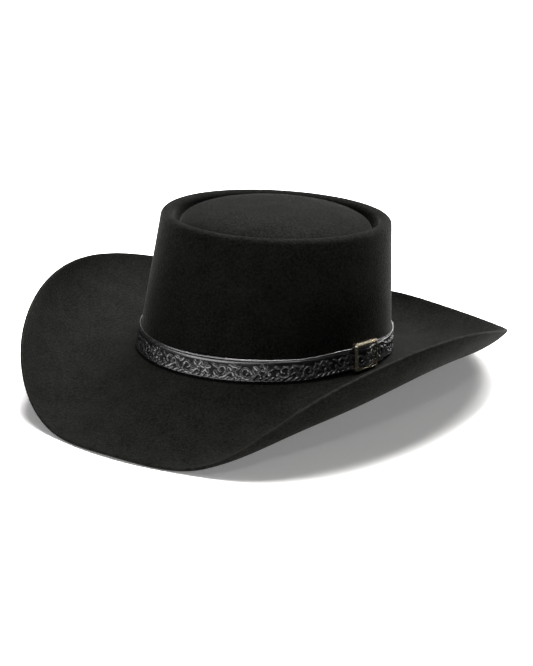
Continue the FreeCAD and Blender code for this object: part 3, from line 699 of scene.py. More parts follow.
@dataclass(frozen=True)
class FeltFinish:
    """Brushed wool felt with a short mottled nap, with a painted highlight along its cut edge."""

    name: str = "black_felt"
    dark: Colour = (0.0003, 0.0004, 0.0003)
    light: Colour = (0.0070, 0.0074, 0.0064)
    # Paler colour along the cut edge: a painted highlight where the edge catches the light.
    edge_highlight: Colour = (0.0095, 0.0090, 0.0080)
    mottle: Mottle = (55.0, 650.0, 0.78)
    cut_scale: float = 260.0
    tuft_scale: float = 480.0
    tuft_depth: float = 0.0007
    hair_scale: float = 1500.0
    hair_depth: float = 0.0004
    sheen: float = 0.05
    sheen_roughness: float = 0.26
    sheen_tint: Colour = (0.95, 0.96, 0.9)
    specular: float = 0.03

    def material(self) -> bpy.types.Material:
        """Build the material.

        Returns:
            The material.
        """
        w, shader, position = new_material(self.name)
        nap, mask = mottled(w, position, self.mottle, self.dark, self.light)
        # Painted highlight: the cut edge turns paler, broken up by noise.
        ragged = w.span(w.noise(position, self.cut_scale, 3.0), 0.38, 0.6, 0.25, 1.0)
        edge_highlight_share = w.maths("MULTIPLY", w.attribute("cut_edge_highlight"), ragged)
        tuft = w.bump(w.noise(position, self.tuft_scale, 3.0), self.tuft_depth, 0.6)
        hair = w.bump(w.noise(position, self.hair_scale, 3.0), self.hair_depth, 0.7, tuft)
        w.fill(
            shader,
            {
                "Base Color": w.blend(edge_highlight_share, nap, rgba(self.edge_highlight)),
                "Roughness": w.span(mask, 0.0, 1.0, 0.95, 0.82),
                "Normal": hair,
                "Specular IOR Level": self.specular,
                "Sheen Weight": self.sheen,
                "Sheen Roughness": self.sheen_roughness,
                "Sheen Tint": rgba(self.sheen_tint),
            },
        )
        return w.material


@dataclass(frozen=True)
class EmbossedLeatherFinish:
    """Glossy finished leather, with painted shade darkening its tooled ground, duller in the tooling and
    raw on its flesh side.
    """

    name: str = "embossed_leather"
    # deep is the colour of the pressed ground, darkened as painted shade; high is that of the crests.
    deep: Colour = (0.002, 0.002, 0.002)
    high: Colour = (0.012, 0.012, 0.013)
    back: Colour = (0.05, 0.042, 0.036)
    ground_roughness: float = 0.4
    crest_roughness: float = 0.14
    smear_scale: float = 90.0
    smear_roughness: float = 0.06
    flesh_roughness: float = 0.5
    grain_scale: float = 1500.0
    grain_depth: float = 0.00005
    coat_index: float = 1.65
    coat_roughness: float = 0.08

    def material(self) -> bpy.types.Material:
        """Build the material.

        Returns:
            The material.
        """
        w, shader, position = new_material(self.name)
        relief, flesh = w.attribute("relief"), w.attribute("flesh")
        # Painted shade: the colour darkens into the pressed ground and lightens on the crests.
        tooling_shade = w.blend(relief, rgba(self.deep), rgba(self.high))
        polish = w.span(relief, 0.1, 0.8, self.ground_roughness, self.crest_roughness)
        smear = w.span(w.noise(position, self.smear_scale, 4.0), 0.3, 0.7, 0.0, self.smear_roughness)
        rough = w.maths("MULTIPLY", flesh, self.flesh_roughness)
        grain = w.group(EFFECTS.grain, Position=position, Scale=self.grain_scale, Creases=0.4)
        w.fill(
            shader,
            {
                "Base Color": w.blend(flesh, tooling_shade, rgba(self.back)),
                "Roughness": w.maths("ADD", w.maths("ADD", polish, smear), rough),
                "Normal": w.bump(grain.outputs["Height"], self.grain_depth, 0.8),
                "Specular IOR Level": w.span(relief, 0.2, 0.75, 0.1, 1.0),
                "Coat IOR": self.coat_index,
                "Coat Weight": w.span(relief, 0.35, 0.8, 0.0, 1.0),
                "Coat Roughness": self.coat_roughness,
            },
        )
        return w.material


@dataclass(frozen=True)
class BrassFinish:
    """Pale polished metal with faint rub marks."""

    name: str = "pale_brass"
    bright: Colour = (0.93, 0.84, 0.66)
    dull: Colour = (0.72, 0.61, 0.42)
    mottle: Mottle = (120.0, 600.0, 0.25)
    mark_scale: float = 900.0
    mark_depth: float = 0.00001

    def material(self) -> bpy.types.Material:
        """Build the material.

        Returns:
            The material.
        """
        w, shader, position = new_material(self.name)
        tone, mask = mottled(w, position, self.mottle, self.dull, self.bright)
        w.fill(
            shader,
            {
                "Base Color": tone,
                "Roughness": w.span(mask, 0.0, 1.0, 0.24, 0.16),
                "Normal": w.bump(w.noise(position, self.mark_scale, 5.0), self.mark_depth, 0.4),
                "Metallic": 1.0,
            },
        )
        return w.material


@dataclass(frozen=True)
class LeatherFinish:
    """Matt natural leather with a fine grain."""

    name: str
    dark: Colour
    light: Colour
    roughness: float = 0.55
    mottle: Mottle = (30.0, 240.0, 0.35)
    grain_scale: float = 750.0
    grain_depth: float = 0.00018

    def material(self) -> bpy.types.Material:
        """Build the material.

        Returns:
            The material.
        """
        w, shader, position = new_material(self.name)
        tone, _ = mottled(w, position, self.mottle, self.dark, self.light)
        grain = w.group(EFFECTS.grain, Position=position, Scale=self.grain_scale, Creases=0.7)
        height = grain.outputs["Height"]
        w.fill(
            shader,
            {
                "Base Color": tone,
                "Roughness": w.span(height, 0.0, 1.5, self.roughness + 0.12, self.roughness - 0.08),
                "Normal": w.bump(height, self.grain_depth, 0.7),
                "Specular IOR Level": 0.4,
            },
        )
        return w.material


@dataclass(frozen=True)
class ClothFinish:
    """Woven cloth: satin, ribbon or tape."""

    name: str
    dark: Colour
    light: Colour
    threads: float
    roughness: float
    sheen: float
    weave_depth: float = 0.00008

    def material(self) -> bpy.types.Material:
        """Build the material.

        Returns:
            The material.
        """
        w, shader, position = new_material(self.name)
        parts = w.add("ShaderNodeSeparateXYZ", {0: position}).outputs
        across = w.maths("ADD", parts["X"], parts["Y"])
        weave = w.group(EFFECTS.weave, Along=across, Across=parts["Z"], Threads=self.threads)
        height = weave.outputs["Height"]
        tone, _ = mottled(w, position, (45.0, self.threads / 4, 0.3), self.dark, self.light)
        w.fill(
            shader,
            {
                "Base Color": tone,
                "Roughness": w.span(height, 0.0, 1.0, self.roughness + 0.06, self.roughness),
                "Normal": w.bump(height, self.weave_depth, 0.6),
                "Sheen Weight": self.sheen,
                "Sheen Roughness": 0.35,
            },
        )
        return w.material


@dataclass(frozen=True)
class PlainFinish:
    """Paper, plastic or thread: one tone with a little cloud in it."""

    name: str
    dark: Colour
    light: Colour
    roughness: float
    alpha: float = 1.0
    mottle: Mottle = (70.0, 900.0, 0.5)
    depth: float = 0.00005

    def material(self) -> bpy.types.Material:
        """Build the material.

        Returns:
            The material.
        """
        w, shader, position = new_material(self.name)
        tone, mask = mottled(w, position, self.mottle, self.dark, self.light)
        w.fill(
            shader,
            {
                "Base Color": tone,
                "Roughness": w.span(mask, 0.0, 1.0, self.roughness + 0.08, self.roughness),
                "Normal": w.bump(mask, self.depth, 0.5),
                "Alpha": self.alpha,
            },
        )
        return w.material


def dress(piece: bpy.types.Object, material: bpy.types.Material) -> None:
    """Give a piece one material."""
    piece.data.materials.clear()
    piece.data.materials.append(material)


def dress_node(node: str, material: bpy.types.Material) -> None:
    """Give a piece that the CAD model made a finish of its own.

    Args:
        node: the piece's CAD name.
        material: its finish.
    """
    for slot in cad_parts[node].material_slots:
        slot.material = material
    log.info("%s: dressed in %s", node, material.name)


# ------------------------------------------------------------------ thread


class Thread(Enum):
    """Threads used in the hat, with their radius in millimetres."""

    SWEATBAND = 0.28
    SEAM = 0.24


class StitchRow:
    """Row of stitches set along a path by a geometry node tree."""

    SAG = -0.6

    def __init__(self) -> None:
        """Build the tree once."""
        self.tree = bpy.data.node_groups.new("stitch_row", "GeometryNodeTree")
        face = self.tree.interface
        face.new_socket("Path", in_out="INPUT", socket_type="NodeSocketGeometry")
        for name, kind in (("Count", "NodeSocketInt"), ("Length", FLOAT), ("Radius", FLOAT)):
            face.new_socket(name, in_out="INPUT", socket_type=kind)
        face.new_socket("Thread", in_out="INPUT", socket_type="NodeSocketMaterial")
        face.new_socket("Stitches", in_out="OUTPUT", socket_type="NodeSocketGeometry")
        w = Wiring(self.tree)
        given = w.add("NodeGroupInput").outputs
        path = {"Curve": given["Path"], "Count": given["Count"]}
        points = w.add("GeometryNodeCurveToPoints", path, mode="COUNT").outputs
        aligned = w.add("FunctionNodeAlignRotationToVector", {"Vector": points["Tangent"]}, axis="Z")
        stitch = w.add(
            "GeometryNodeMeshCylinder",
            {"Vertices": 6, "Side Segments": 3, "Radius": given["Radius"], "Depth": given["Length"]},
        )
        place = w.add("GeometryNodeInputPosition").outputs[0]
        height = w.add("ShaderNodeSeparateXYZ", {0: place}).outputs["Z"]
        share = w.maths("DIVIDE", height, w.maths("MULTIPLY", given["Length"], 0.5))
        lift = w.maths("MULTIPLY", w.maths("MULTIPLY", share, share), given["Radius"])
        dip = w.add("ShaderNodeCombineXYZ", {"X": w.maths("MULTIPLY", lift, self.SAG)}).outputs[0]
        sagging = {"Geometry": stitch.outputs["Mesh"], "Offset": dip}
        bent = w.add("GeometryNodeSetPosition", sagging).outputs[0]
        spread = w.add(
            "GeometryNodeInstanceOnPoints",
            {"Points": points["Points"], "Instance": bent, "Rotation": aligned.outputs["Rotation"]},
        )
        real = w.add("GeometryNodeRealizeInstances", {0: spread.outputs[0]}).outputs[0]
        sewn = w.add("GeometryNodeSetMaterial", {"Geometry": real, "Material": given["Thread"]})
        w.add("NodeGroupOutput", {"Stitches": sewn.outputs[0]})

    def sew(
        self,
        name: str,
        path: np.ndarray,
        closed: bool,
        thread: Thread,
        length: float,
        count: int,
        material: bpy.types.Material,
    ) -> bpy.types.Object:
        """Lay a row of stitches.

        Args:
            name: name of the piece.
            path: points of the row in the row frame, in metres.
            closed: whether the row joins itself.
            thread: the thread used.
            length: length of a stitch in millimetres.
            count: number of stitches.
            material: finish of the thread.

        Returns:
            The stitches as one plain mesh.
        """
        curve = bpy.data.curves.new(f"{name}_path", "CURVE")
        curve.dimensions = "3D"
        line = curve.splines.new("POLY")
        line.points.add(len(path) - 1)
        for point, place in zip(line.points, path):
            point.co = (*place, 1.0)
        line.use_cyclic_u = closed
        guide = bpy.data.objects.new(f"{name}_path", curve)
        bpy.context.collection.objects.link(guide)
        modifier = guide.modifiers.new("stitches", "NODES")
        modifier.node_group = self.tree
        sizes = {"Length": length * MM, "Radius": thread.value * MM}
        values = {"Count": count, "Thread": material, **sizes}
        for item in self.tree.interface.items_tree:
            if item.in_out == "INPUT" and item.name in values:
                modifier[item.identifier] = values[item.name]
        graph = bpy.context.evaluated_depsgraph_get()
        mesh = bpy.data.meshes.new_from_object(guide.evaluated_get(graph), depsgraph=graph)
        bpy.data.objects.remove(guide)
        piece = bpy.data.objects.new(name, mesh)
        bpy.context.collection.objects.link(piece)
        log.info("%s: %d stitches", name, count)
        return piece


# ------------------------------------------------------------------ the felt


@dataclass
class Felt:
    """Crown and brim of one piece of felt."""

    form: HatForm
    finish: FeltFinish = FeltFinish()
    turns: int = 400
    waviness: float = 0.35
    waves: tuple[tuple[float, float, float], ...] = (
        (3, 0.7, 0.5), (5, 2.1, 0.35), (8, 4.0, 0.25), (13, 1.3, 0.12),
    )
    wave_twist: float = 2.5
    fray: float = 0.1
    fray_seed: int = 7
    edge_round: float = 0.6
    pad_shares: tuple[float, ...] = (
        0.2, 0.27, 0.34, 0.42, 0.5, 0.57, 0.64, 0.7, 0.76, 0.81,
        0.855, 0.89, 0.92, 0.945, 0.965, 0.98, 0.99, 0.996, 1.0,
    )
    groove_step: int = 15
    roll_step: int = 12
    wall_rings: int = 28
    bend_shares: tuple[float, ...] = (0.0, 0.2, 0.4, 0.6, 0.8, 1.0)
    near_reaches: tuple[float, ...] = (0.06, 0.08, 0.11, 0.15)
    brim_rings_out: int = 27
    edge_step: int = 20

    def crown_rings(self, turn: np.ndarray, inset: float) -> list[np.ndarray]:
        """Rings of one face, from the middle of the pad down the crown's wall.

        Args:
            turn: turns of the points of a ring.
            inset: 0 for the outside, the felt's thickness for the inside.

        Returns:
            The rings in order.
        """
        form = self.form
        border = form.ridge_roll + 2 * form.groove_radius
        rings = []
        for share in (form.pad_flat / form.ridge_width, *self.pad_shares):
            dome = math.sqrt(max(0.0, 1 - share**form.pad_squareness))
            height = form.pad_spring + (form.pad_rise - inset) * dome
            length = (form.ridge_length - border - inset) * share
            width = (form.ridge_width - border - inset) * share
            rings.append(form.oval(length, width, form.ridge_centre, height, turn))
        middle = form.ridge_roll + form.groove_radius
        groove, rim = form.groove_radius + inset, form.ridge_roll - inset
        for degrees in range(-180, 1, self.groove_step):
            rings.append(self.roll(turn, middle, form.groove_height, groove, degrees))
        for degrees in range(180, 0, -self.roll_step):
            rings.append(self.roll(turn, 0.0, form.ridge_height, rim, degrees))
        for share in np.linspace(0.97, 0.07, self.wall_rings):
            rings.append(form.wall(turn, -inset, share * form.ridge_height))
        return rings

    def roll(
        self, turn: np.ndarray, middle: float, level: float, radius: float, degrees: float
    ) -> np.ndarray:
        """One ring of the rim's roll or of the groove beside it.

        Args:
            turn: turns from the front towards the wearer's left, in radians.
            middle: distance of the roll's middle inside the rim's own.
            level: height of the roll's middle.
            radius: radius of the roll.
            degrees: place round the roll, 90 at its top.

        Returns:
            The ring.
        """
        form = self.form
        angle = math.radians(degrees)
        reach = radius * math.cos(angle) - middle
        height = level + radius * math.sin(angle) + form.wave(turn)
        length, width = form.ridge_length + reach, form.ridge_width + reach
        return form.oval(length, width, form.ridge_centre, height, turn)

    def bend(self, turn: np.ndarray, radius: float, share: float) -> np.ndarray:
        """One ring of the bend between crown and brim.

        Args:
            turn: turns from the front towards the wearer's left, in radians.
            radius: radius of the bend.
            share: 0 at the crown and 1 at the brim.

        Returns:
            The ring.
        """
        form = self.form
        slope = np.radians(form.around(form.start, turn))
        offset = form.break_radius
        height = (offset + form.felt + offset * np.sin(slope)) / np.cos(slope)
        angle = math.pi + share * (math.pi / 2 + slope)
        out = form.heading(turn) * (offset + radius * np.cos(angle))[..., None]
        up = np.array([0.0, 0.0, 1.0]) * (height + radius * np.sin(angle))[..., None]
        return form.brim_base(turn) + out + up

    def unevenness(self, turn: np.ndarray, reach: float) -> np.ndarray:
        """Gentle hand-shaped waves of the brim, in millimetres.

        Args:
            turn: turns from the front towards the wearer's left, in radians.
            reach: 0 at the crown and 1 at the edge.

        Returns:
            The rise at each turn.
        """
        waves = np.zeros_like(turn)
        for count, phase, share in self.waves:
            waves += share * np.sin(count * turn + phase + self.wave_twist * reach)
        return self.waviness * waves * float(smooth_step((reach - 0.15) / 0.6))

    def brim_rings(
        self, turn: np.ndarray
    ) -> tuple[list[np.ndarray], list[np.ndarray], list[np.ndarray]]:
        """Rings of the brim's top, of its cut edge and of its underside, outward.

        Args:
            turn: turns from the front towards the wearer's left, in radians.

        Returns:
            The three lists of rings.
        """
        form = self.form
        top, under = [], []
        for reach in (*self.near_reaches, *np.linspace(0.19, 0.97, self.brim_rings_out)):
            normal = form.brim_frame(turn, reach)[1]
            lift = self.unevenness(turn, reach)[..., None]
            underside = form.brim(turn, reach) + normal * lift
            under.append(underside)
            top.append(underside + normal * form.felt)
        outward, normal = form.brim_frame(turn, 1.0)
        half = form.felt / 2
        random = np.random.default_rng(self.fray_seed)
        rough = np.convolve(np.tile(random.normal(size=self.turns), 3), [0.25, 0.5, 0.25], "same")
        rough = rough[self.turns : 2 * self.turns]
        middle = form.brim(turn, 1.0) + normal * (half + self.unevenness(turn, 1.0)[..., None])
        edge = []
        for degrees in range(90, -91, -self.edge_step):
            angle = math.radians(degrees)
            fray = (self.fray * rough * math.cos(angle))[..., None]
            out = outward * (half * self.edge_round * math.cos(angle) + fray)
            edge.append(middle + out + normal * half * math.sin(angle))
        return top, edge, under

    def build(self) -> None:
        """Build the felt in place of the CAD solid."""
        form = self.form
        turn = np.linspace(0, 2 * math.pi, self.turns, endpoint=False)
        top, edge, under = self.brim_rings(turn)
        outer, inner = form.break_radius, form.break_radius + form.felt
        outside = self.crown_rings(turn, 0.0)
        outside += [self.bend(turn, outer, share) for share in self.bend_shares]
        inside = self.crown_rings(turn, form.felt)
        inside += [self.bend(turn, inner, share) for share in self.bend_shares]
        rings = outside + top + edge + under[::-1] + inside[::-1]
        felt = turned_object("felt_hat", form.row(np.stack(rings)))
        # Points of the cut edge, where the felt's material paints a highlight.
        edge_highlight = np.zeros((len(rings), self.turns))
        first = len(outside) + len(top)
        edge_highlight[first + 1 : first + len(edge) - 1] = 1.0
        point_values(felt, "cut_edge_highlight", np.concatenate([edge_highlight.ravel(), [0.0, 0.0]]))
        dress(felt, self.finish.material())
        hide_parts("felt_body")
        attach(felt, "hat")
        log.info("felt: %d faces", len(felt.data.polygons))


# ------------------------------------------------------------------ the hatband


@dataclass
class Tooling:
    """Repeating scroll and rosette pressed into the band, as heights over (along, up) in millimetres."""

    repeat: float = 47.0
    low: float = 0.9
    high: float = 12.4
    depth: float = 0.95
    stipple: float = 1.2
    ground: float = -0.72
    ground_bumps: float = 0.28
    fade: float = 0.5
    stipple_seed: int = 11
    border_lines: tuple[tuple[float, float, float], ...] = ((1.0, 0.33, 0.3), (3.2, 0.36, 0.45))
    strokes: list[tuple[np.ndarray, np.ndarray]] = field(default_factory=list)

    def __post_init__(self) -> None:
        """Lay out one repeat of the pattern."""
        middle = (self.low + self.high) / 2
        self.spiral(8.0, middle + 0.6, 5.4, 1.4, 200, 620, 1.35)
        self.spiral(26.5, middle - 0.2, 5.5, 1.4, 20, -420, 1.35)
        self.wave(17.0, middle - 0.6, 13.0, 3.8, 1.45)
        self.wave(35.5, middle + 1.2, 12.0, -3.6, 1.45)
        for petal in range(5):
            self.leaf(42.2, middle + 0.6, math.radians(72 * petal + 20), 1.1, 4.6, 1.5)
        self.arc(42.2, middle + 0.6, 0.8, 0, 360, 0.8)
        self.leaf(32.0, middle + 4.6, math.radians(-40), 0.0, 7.0, 1.5)
        self.leaf(13.8, middle + 4.8, math.radians(-14), 0.0, 8.0, 1.4)
        self.leaf(19.5, middle + 1.4, math.radians(44), 0.0, 4.8, 1.2)
        self.arc(16.5, middle - 4.6, 4.2, 25, 150, 1.2)
        self.arc(34.0, middle - 5.0, 4.4, 35, 160, 1.2)
        self.leaf(0.6, middle + 4.4, math.radians(-30), 0.0, 5.0, 1.2)
        foot_leaves = 10
        for i in range(foot_leaves):
            x = self.repeat / foot_leaves * i
            self.leaf(x, self.low - 0.3, math.radians(26), 0.0, 5.6, 1.2)

    def stroke(self, points: np.ndarray, widths: np.ndarray) -> None:
        """Add one raised line."""
        self.strokes.append((points, widths))

    def spiral(
        self, x: float, y: float, outer: float, inner: float, start: float, end: float, width: float
    ) -> None:
        """Add a tapering spiral between two angles in degrees.

        Args:
            x: along the band, of its eye.
            y: up the band, of its eye.
            outer: radius where it starts.
            inner: radius where it ends.
            start: angle where it starts.
            end: angle where it ends.
            width: half width, a little more at its start and less at its end.
        """
        share = np.linspace(0, 1, 60)
        angle = np.radians(start + (end - start) * share)
        radius = outer + (inner - outer) * share
        points = np.stack([x + radius * np.cos(angle), y + radius * np.sin(angle)], axis=-1)
        self.stroke(points, width * (1.15 - 0.55 * share))

    def arc(
        self, x: float, y: float, radius: float, start: float, end: float, width: float
    ) -> None:
        """Add an arc that swells at its middle.

        Args:
            x: along the band, of its centre.
            y: up the band, of its centre.
            radius: its radius.
            start: angle where it starts, in degrees.
            end: angle where it ends.
            width: half width where the line is widest.
        """
        share = np.linspace(0, 1, 20)
        angle = np.radians(start + (end - start) * share)
        points = np.stack([x + radius * np.cos(angle), y + radius * np.sin(angle)], axis=-1)
        self.stroke(points, width * (0.35 + 0.65 * np.sin(math.pi * share)))

    def wave(self, x: float, y: float, length: float, rise: float, width: float) -> None:
        """Add an S that swells at its middle.

        Args:
            x: along the band, of the line's middle.
            y: up the band, of the line's middle.
            length: its length along the band.
            rise: how far it swings, negative to start downwards.
            width: half width where the line is widest.
        """
        share = np.linspace(0, 1, 28)
        swing = rise * np.sin(2 * math.pi * (share - 0.5))
        points = np.stack([x + length * (share - 0.5), y - swing], axis=-1)
        self.stroke(points, width * (0.3 + 0.7 * np.sin(math.pi * share)))

    def leaf(
        self, x: float, y: float, angle: float, start: float, end: float, width: float
    ) -> None:
        """Add a pointed leaf or petal that leaves a point.

        Args:
            x: along the band, of the point.
            y: up the band, of the point.
            angle: its direction, in radians.
            start: distance of its foot from the point.
            end: distance of its tip.
            width: half width where the line is widest.
        """
        share = np.linspace(0, 1, 10)
        reach = start + (end - start) * share
        points = np.stack([x + reach * math.cos(angle), y + reach * math.sin(angle)], axis=-1)
        self.stroke(points, width * np.sin(math.pi * (0.12 + 0.83 * share)))

    def scrolls(self, along: np.ndarray, up: np.ndarray) -> np.ndarray:
        """Height of the scrolls, 0 on the ground and 1 on a full crest.

        Args:
            along: distances along the band.
            up: heights above its lower edge.

        Returns:
            The height at each place.
        """
        margin, thinnest = 1.3, 0.05
        x = np.mod(along, self.repeat)
        best = np.zeros_like(x)
        for points, widths in self.strokes:
            for shift in (-self.repeat, 0.0, self.repeat):
                moved = points[:, 0] + shift
                near = (x > moved.min() - margin) & (x < moved.max() + margin)
                if not near.any():
                    continue
                px, py = x[near], up[near]
                value = np.zeros_like(px)
                for i in range(len(points) - 1):
                    ax, ay = moved[i], points[i, 1]
                    dx, dy = moved[i + 1] - ax, points[i + 1, 1] - ay
                    t = ((px - ax) * dx + (py - ay) * dy) / (dx * dx + dy * dy + 1e-9)
                    t = np.clip(t, 0, 1)
                    gap = np.hypot(px - ax - t * dx, py - ay - t * dy)
                    width = np.maximum(widths[i] + (widths[i + 1] - widths[i]) * t, thinnest)
                    value = np.maximum(value, np.clip(1 - (gap / width) ** 2, 0, 1))
                best[near] = np.maximum(best[near], value)
        return np.sqrt(best)

    def height(self, along: np.ndarray, up: np.ndarray, full: float) -> np.ndarray:
        """Depth of the tooled face below the leather's own face.

        Args:
            along: distances along the band.
            up: heights above its lower edge.
            full: the band's whole height.

        Returns:
            0 on untouched leather and up to -1 in the deepest ground.
        """
        rows, columns = 64, 512
        pocks = np.random.default_rng(self.stipple_seed).uniform(0.2, 1, (rows, columns))
        column = np.mod((along / self.stipple).astype(int), columns)
        row = np.mod((up / self.stipple).astype(int), rows)
        dot = np.cos(along / self.stipple * 2 * math.pi) * np.cos(up / self.stipple * 2 * math.pi)
        ground = self.ground + self.ground_bumps * dot * pocks[row, column]
        panel = smooth_step((up - self.low + self.fade) / self.fade)
        panel = panel * smooth_step((self.high + self.fade - up) / self.fade)
        tooled = ground * (1 - self.scrolls(along, up))
        plain = np.zeros_like(along)
        for below, width, deep in self.border_lines:
            plain -= deep * np.exp(-(((up - full + below) / width) ** 2))
        return panel * tooled + (1 - panel) * plain


@dataclass
class Hatband:
    """Leather strap: folded round the buckle's bar, once round the crown and out through the buckle."""

    form: HatForm
    tooling: Tooling = field(default_factory=Tooling)
    finish: EmbossedLeatherFinish = EmbossedLeatherFinish()
    foot: float = 0.9
    height: float = 16.2
    thick: float = 1.2
    skived: float = 0.7
    clearance: float = 0.5
    lift: float = 2.2
    billet: float = 32.5
    fold_back: float = 7.0
    buckle_turn: float = math.radians(84.3)
    bar_offset: float = 1.8
    bar_radius: float = 0.65
    bar_clearance: float = 0.15
    layer_gap: float = 0.12
    plain_from: float = 30.0
    plain_step: float = math.radians(7.5)
    point: float = 9.0
    step: float = 0.4
    rows: int = 42
    corner: float = 0.05

    def rate(self) -> float:
        """Millimetres of wall for each radian at the buckle."""
        length, width, _ = self.form.wall_oval(self.height / 2)
        return math.hypot(width * math.cos(self.buckle_turn), length * math.sin(self.buckle_turn))

    @property
    def flat(self) -> float:
        """Offset of the strap where it lies on the crown."""
        return self.clearance + self.thick / 2

    @property
    def over_bar(self) -> float:
        """Offset of the strap where it lies on the buckle's bar."""
        return self.bar_offset + self.bar_radius + self.bar_clearance + self.thick / 2

    def tongue(self, along: float) -> float:
        """Offset of the inner strand beyond the buckle.

        Args:
            along: distance from the buckle's bar.

        Returns:
            Distance of the strand's middle from the crown.
        """
        settled, length = 12.0, 11.0
        share = float(smooth_step((settled - along) / length))
        return self.flat + (self.over_bar - self.flat) * share

    def free_end(self, along: float) -> float:
        """Offset of the outer strand through the buckle.

        Args:
            along: distance from the buckle's bar, negative before it.

        Returns:
            Distance of the strand's middle from the crown.
        """
        layer = self.thick + self.layer_gap
        if along >= 1:
            return self.tongue(along) + layer
        settled, length = 16.0, 15.0
        share = float(smooth_step((settled + along) / length))
        return self.flat + (self.over_bar + layer - self.flat) * share

    def route(self) -> np.ndarray:
        """The strap's middle as rows of (turn, offset, thickness) from its folded end to its free end.

        Returns:
            One row for each station.
        """
        start, rate = self.buckle_turn, self.rate()
        fold = self.bar_radius + self.bar_clearance
        behind = self.bar_offset - fold - self.skived / 2
        doubled = (self.fold_back, 5, 3, 1.2)
        route = [(start + along / rate, behind, self.skived) for along in doubled]
        for degrees in range(-90, 91, 20):
            angle = math.radians(degrees)
            thick = self.skived + (self.thick - self.skived) * (degrees + 90) / 180
            radius = fold + thick / 2
            offset = self.bar_offset + radius * math.sin(angle)
            route.append((start - radius * math.cos(angle) / rate, offset, thick))
        for along in (1.2, 2.5, 4, 5.5, 7, 8.5, 10, 12, 15, 20):
            route.append((start + along / rate, self.tongue(along), self.thick))
        again = start + 2 * math.pi
        first, last = start + self.plain_from / rate, again - self.plain_from / rate
        plain = round((last - first) / self.plain_step)
        for turn in np.linspace(first, last, plain + 1):
            route.append((turn, self.flat, self.thick))
        before = (-24, -19, -16, -13, -10.5, -8, -5.5, -3, -1)
        beyond = (1, 3, 5, 7, 9, 11, 13, 16, 20, 25, 29)
        for along in before + beyond:
            route.append((again + along / rate, self.free_end(along), self.thick))
        route.append((again + self.billet / rate, self.free_end(self.billet), self.thick))
        return np.array(route)

    def middle(self, turn: np.ndarray) -> np.ndarray:
        """Height of the strap's middle, lifted where it crosses the buckle's lower rail.

        Args:
            turn: turns from the front towards the wearer's left, in radians.

        Returns:
            Heights above the crown's base.
        """
        reach, slope = 60, 42
        apart = (np.mod(turn - self.buckle_turn + math.pi, 2 * math.pi) - math.pi) * self.rate()
        lift = self.lift * smooth_step((reach - np.abs(apart)) / slope)
        return self.foot + self.height / 2 + self.form.wave(turn) + lift

    def section(self) -> tuple[np.ndarray, np.ndarray, np.ndarray]:
        """Points round the strap's section.

        Returns:
            Height share -1 to 1, thickness share -1 to 1, and 1 on the tooled face.
        """
        back_rows = 5
        inner, shoulder = 1 - self.corner, 1 - self.corner * 0.35
        face = np.linspace(-inner, inner, self.rows)
        back = np.linspace(inner, -inner, back_rows)
        up = np.concatenate([face, [shoulder, 1.0, 1.0], back, [-1.0, -1.0, -shoulder]])
        edge = np.array([0.82, 0.35, -0.6])
        out = np.concatenate([np.ones(self.rows), edge, -np.ones(back_rows), edge[::-1]])
        return up, out, (np.arange(len(up)) < self.rows).astype(float)

    def build(self) -> None:
        """Build the strap in place of the CAD solid."""
        form, route = self.form, self.route()
        turn, offset, thick = route.T
        here, up = form.place(turn, offset, self.middle(turn))
        travel = np.concatenate([[0.0], np.cumsum(np.linalg.norm(np.diff(here, axis=0), axis=1))])
        at = np.linspace(0, travel[-1], int(travel[-1] / self.step) + 1)
        smooth = natural_curve(travel, np.concatenate([here, up, thick[:, None]], axis=1), at)
        spot, rise, thickness = smooth[:, :3], smooth[:, 3:6], smooth[:, 6]
        rise /= np.linalg.norm(rise, axis=1, keepdims=True)
        ahead = np.gradient(spot, axis=0)
        outward = np.cross(ahead, rise)
        outward /= np.linalg.norm(outward, axis=1, keepdims=True)
        share_up, share_out, tooled = self.section()
        along = np.repeat(at[:, None], len(share_up), axis=1)
        height = np.repeat(((share_up + 1) / 2 * self.height)[None, :], len(at), axis=0)
        relief = self.tooling.height(along, height, self.height) * tooled[None, :]
        covered, margin = 9.0, 1.2
        relief *= smooth_step((along - covered) / 3.0)
        relief *= smooth_step((travel[-1] - margin - along) / self.tooling.fade)
        out = share_out[None, :] * thickness[:, None] / 2 + relief * self.tooling.depth
        blunt = 0.55
        taper = blunt + (1 - blunt) * smooth_step((travel[-1] - at) / self.point)
        tall = share_up[None, :] * self.height / 2 * taper[:, None]
        sideways = outward[:, None, :] * out[..., None]
        points = spot[:, None, :] + sideways + rise[:, None, :] * tall[..., None]
        strap = strip_object("hatband_strap_tooled", form.row(points), closed=False)
        point_values(strap, "relief", (1 + relief).ravel())
        flesh = np.repeat((share_out < -0.5)[None, :].astype(float), len(at), axis=0)
        point_values(strap, "flesh", flesh.ravel())
        dress(strap, self.finish.material())
        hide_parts("hatband_strap")
        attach(strap, "hatband")
        log.info("hatband: %.0f mm of leather, %d faces", travel[-1], len(strap.data.polygons))


@dataclass
class Buckle:
    """Slide buckle and the rivets of the strap's fold."""

    finish: BrassFinish = BrassFinish()

    def build(self) -> None:
        """Dress the metal pieces, whose shape the CAD model has."""
        metal = self.finish.material()
        for node in ("buckle_frame", "buckle_bar", "fold_rivets"):
            dress_node(node, metal)


# ------------------------------------------------------------------ inside the crown


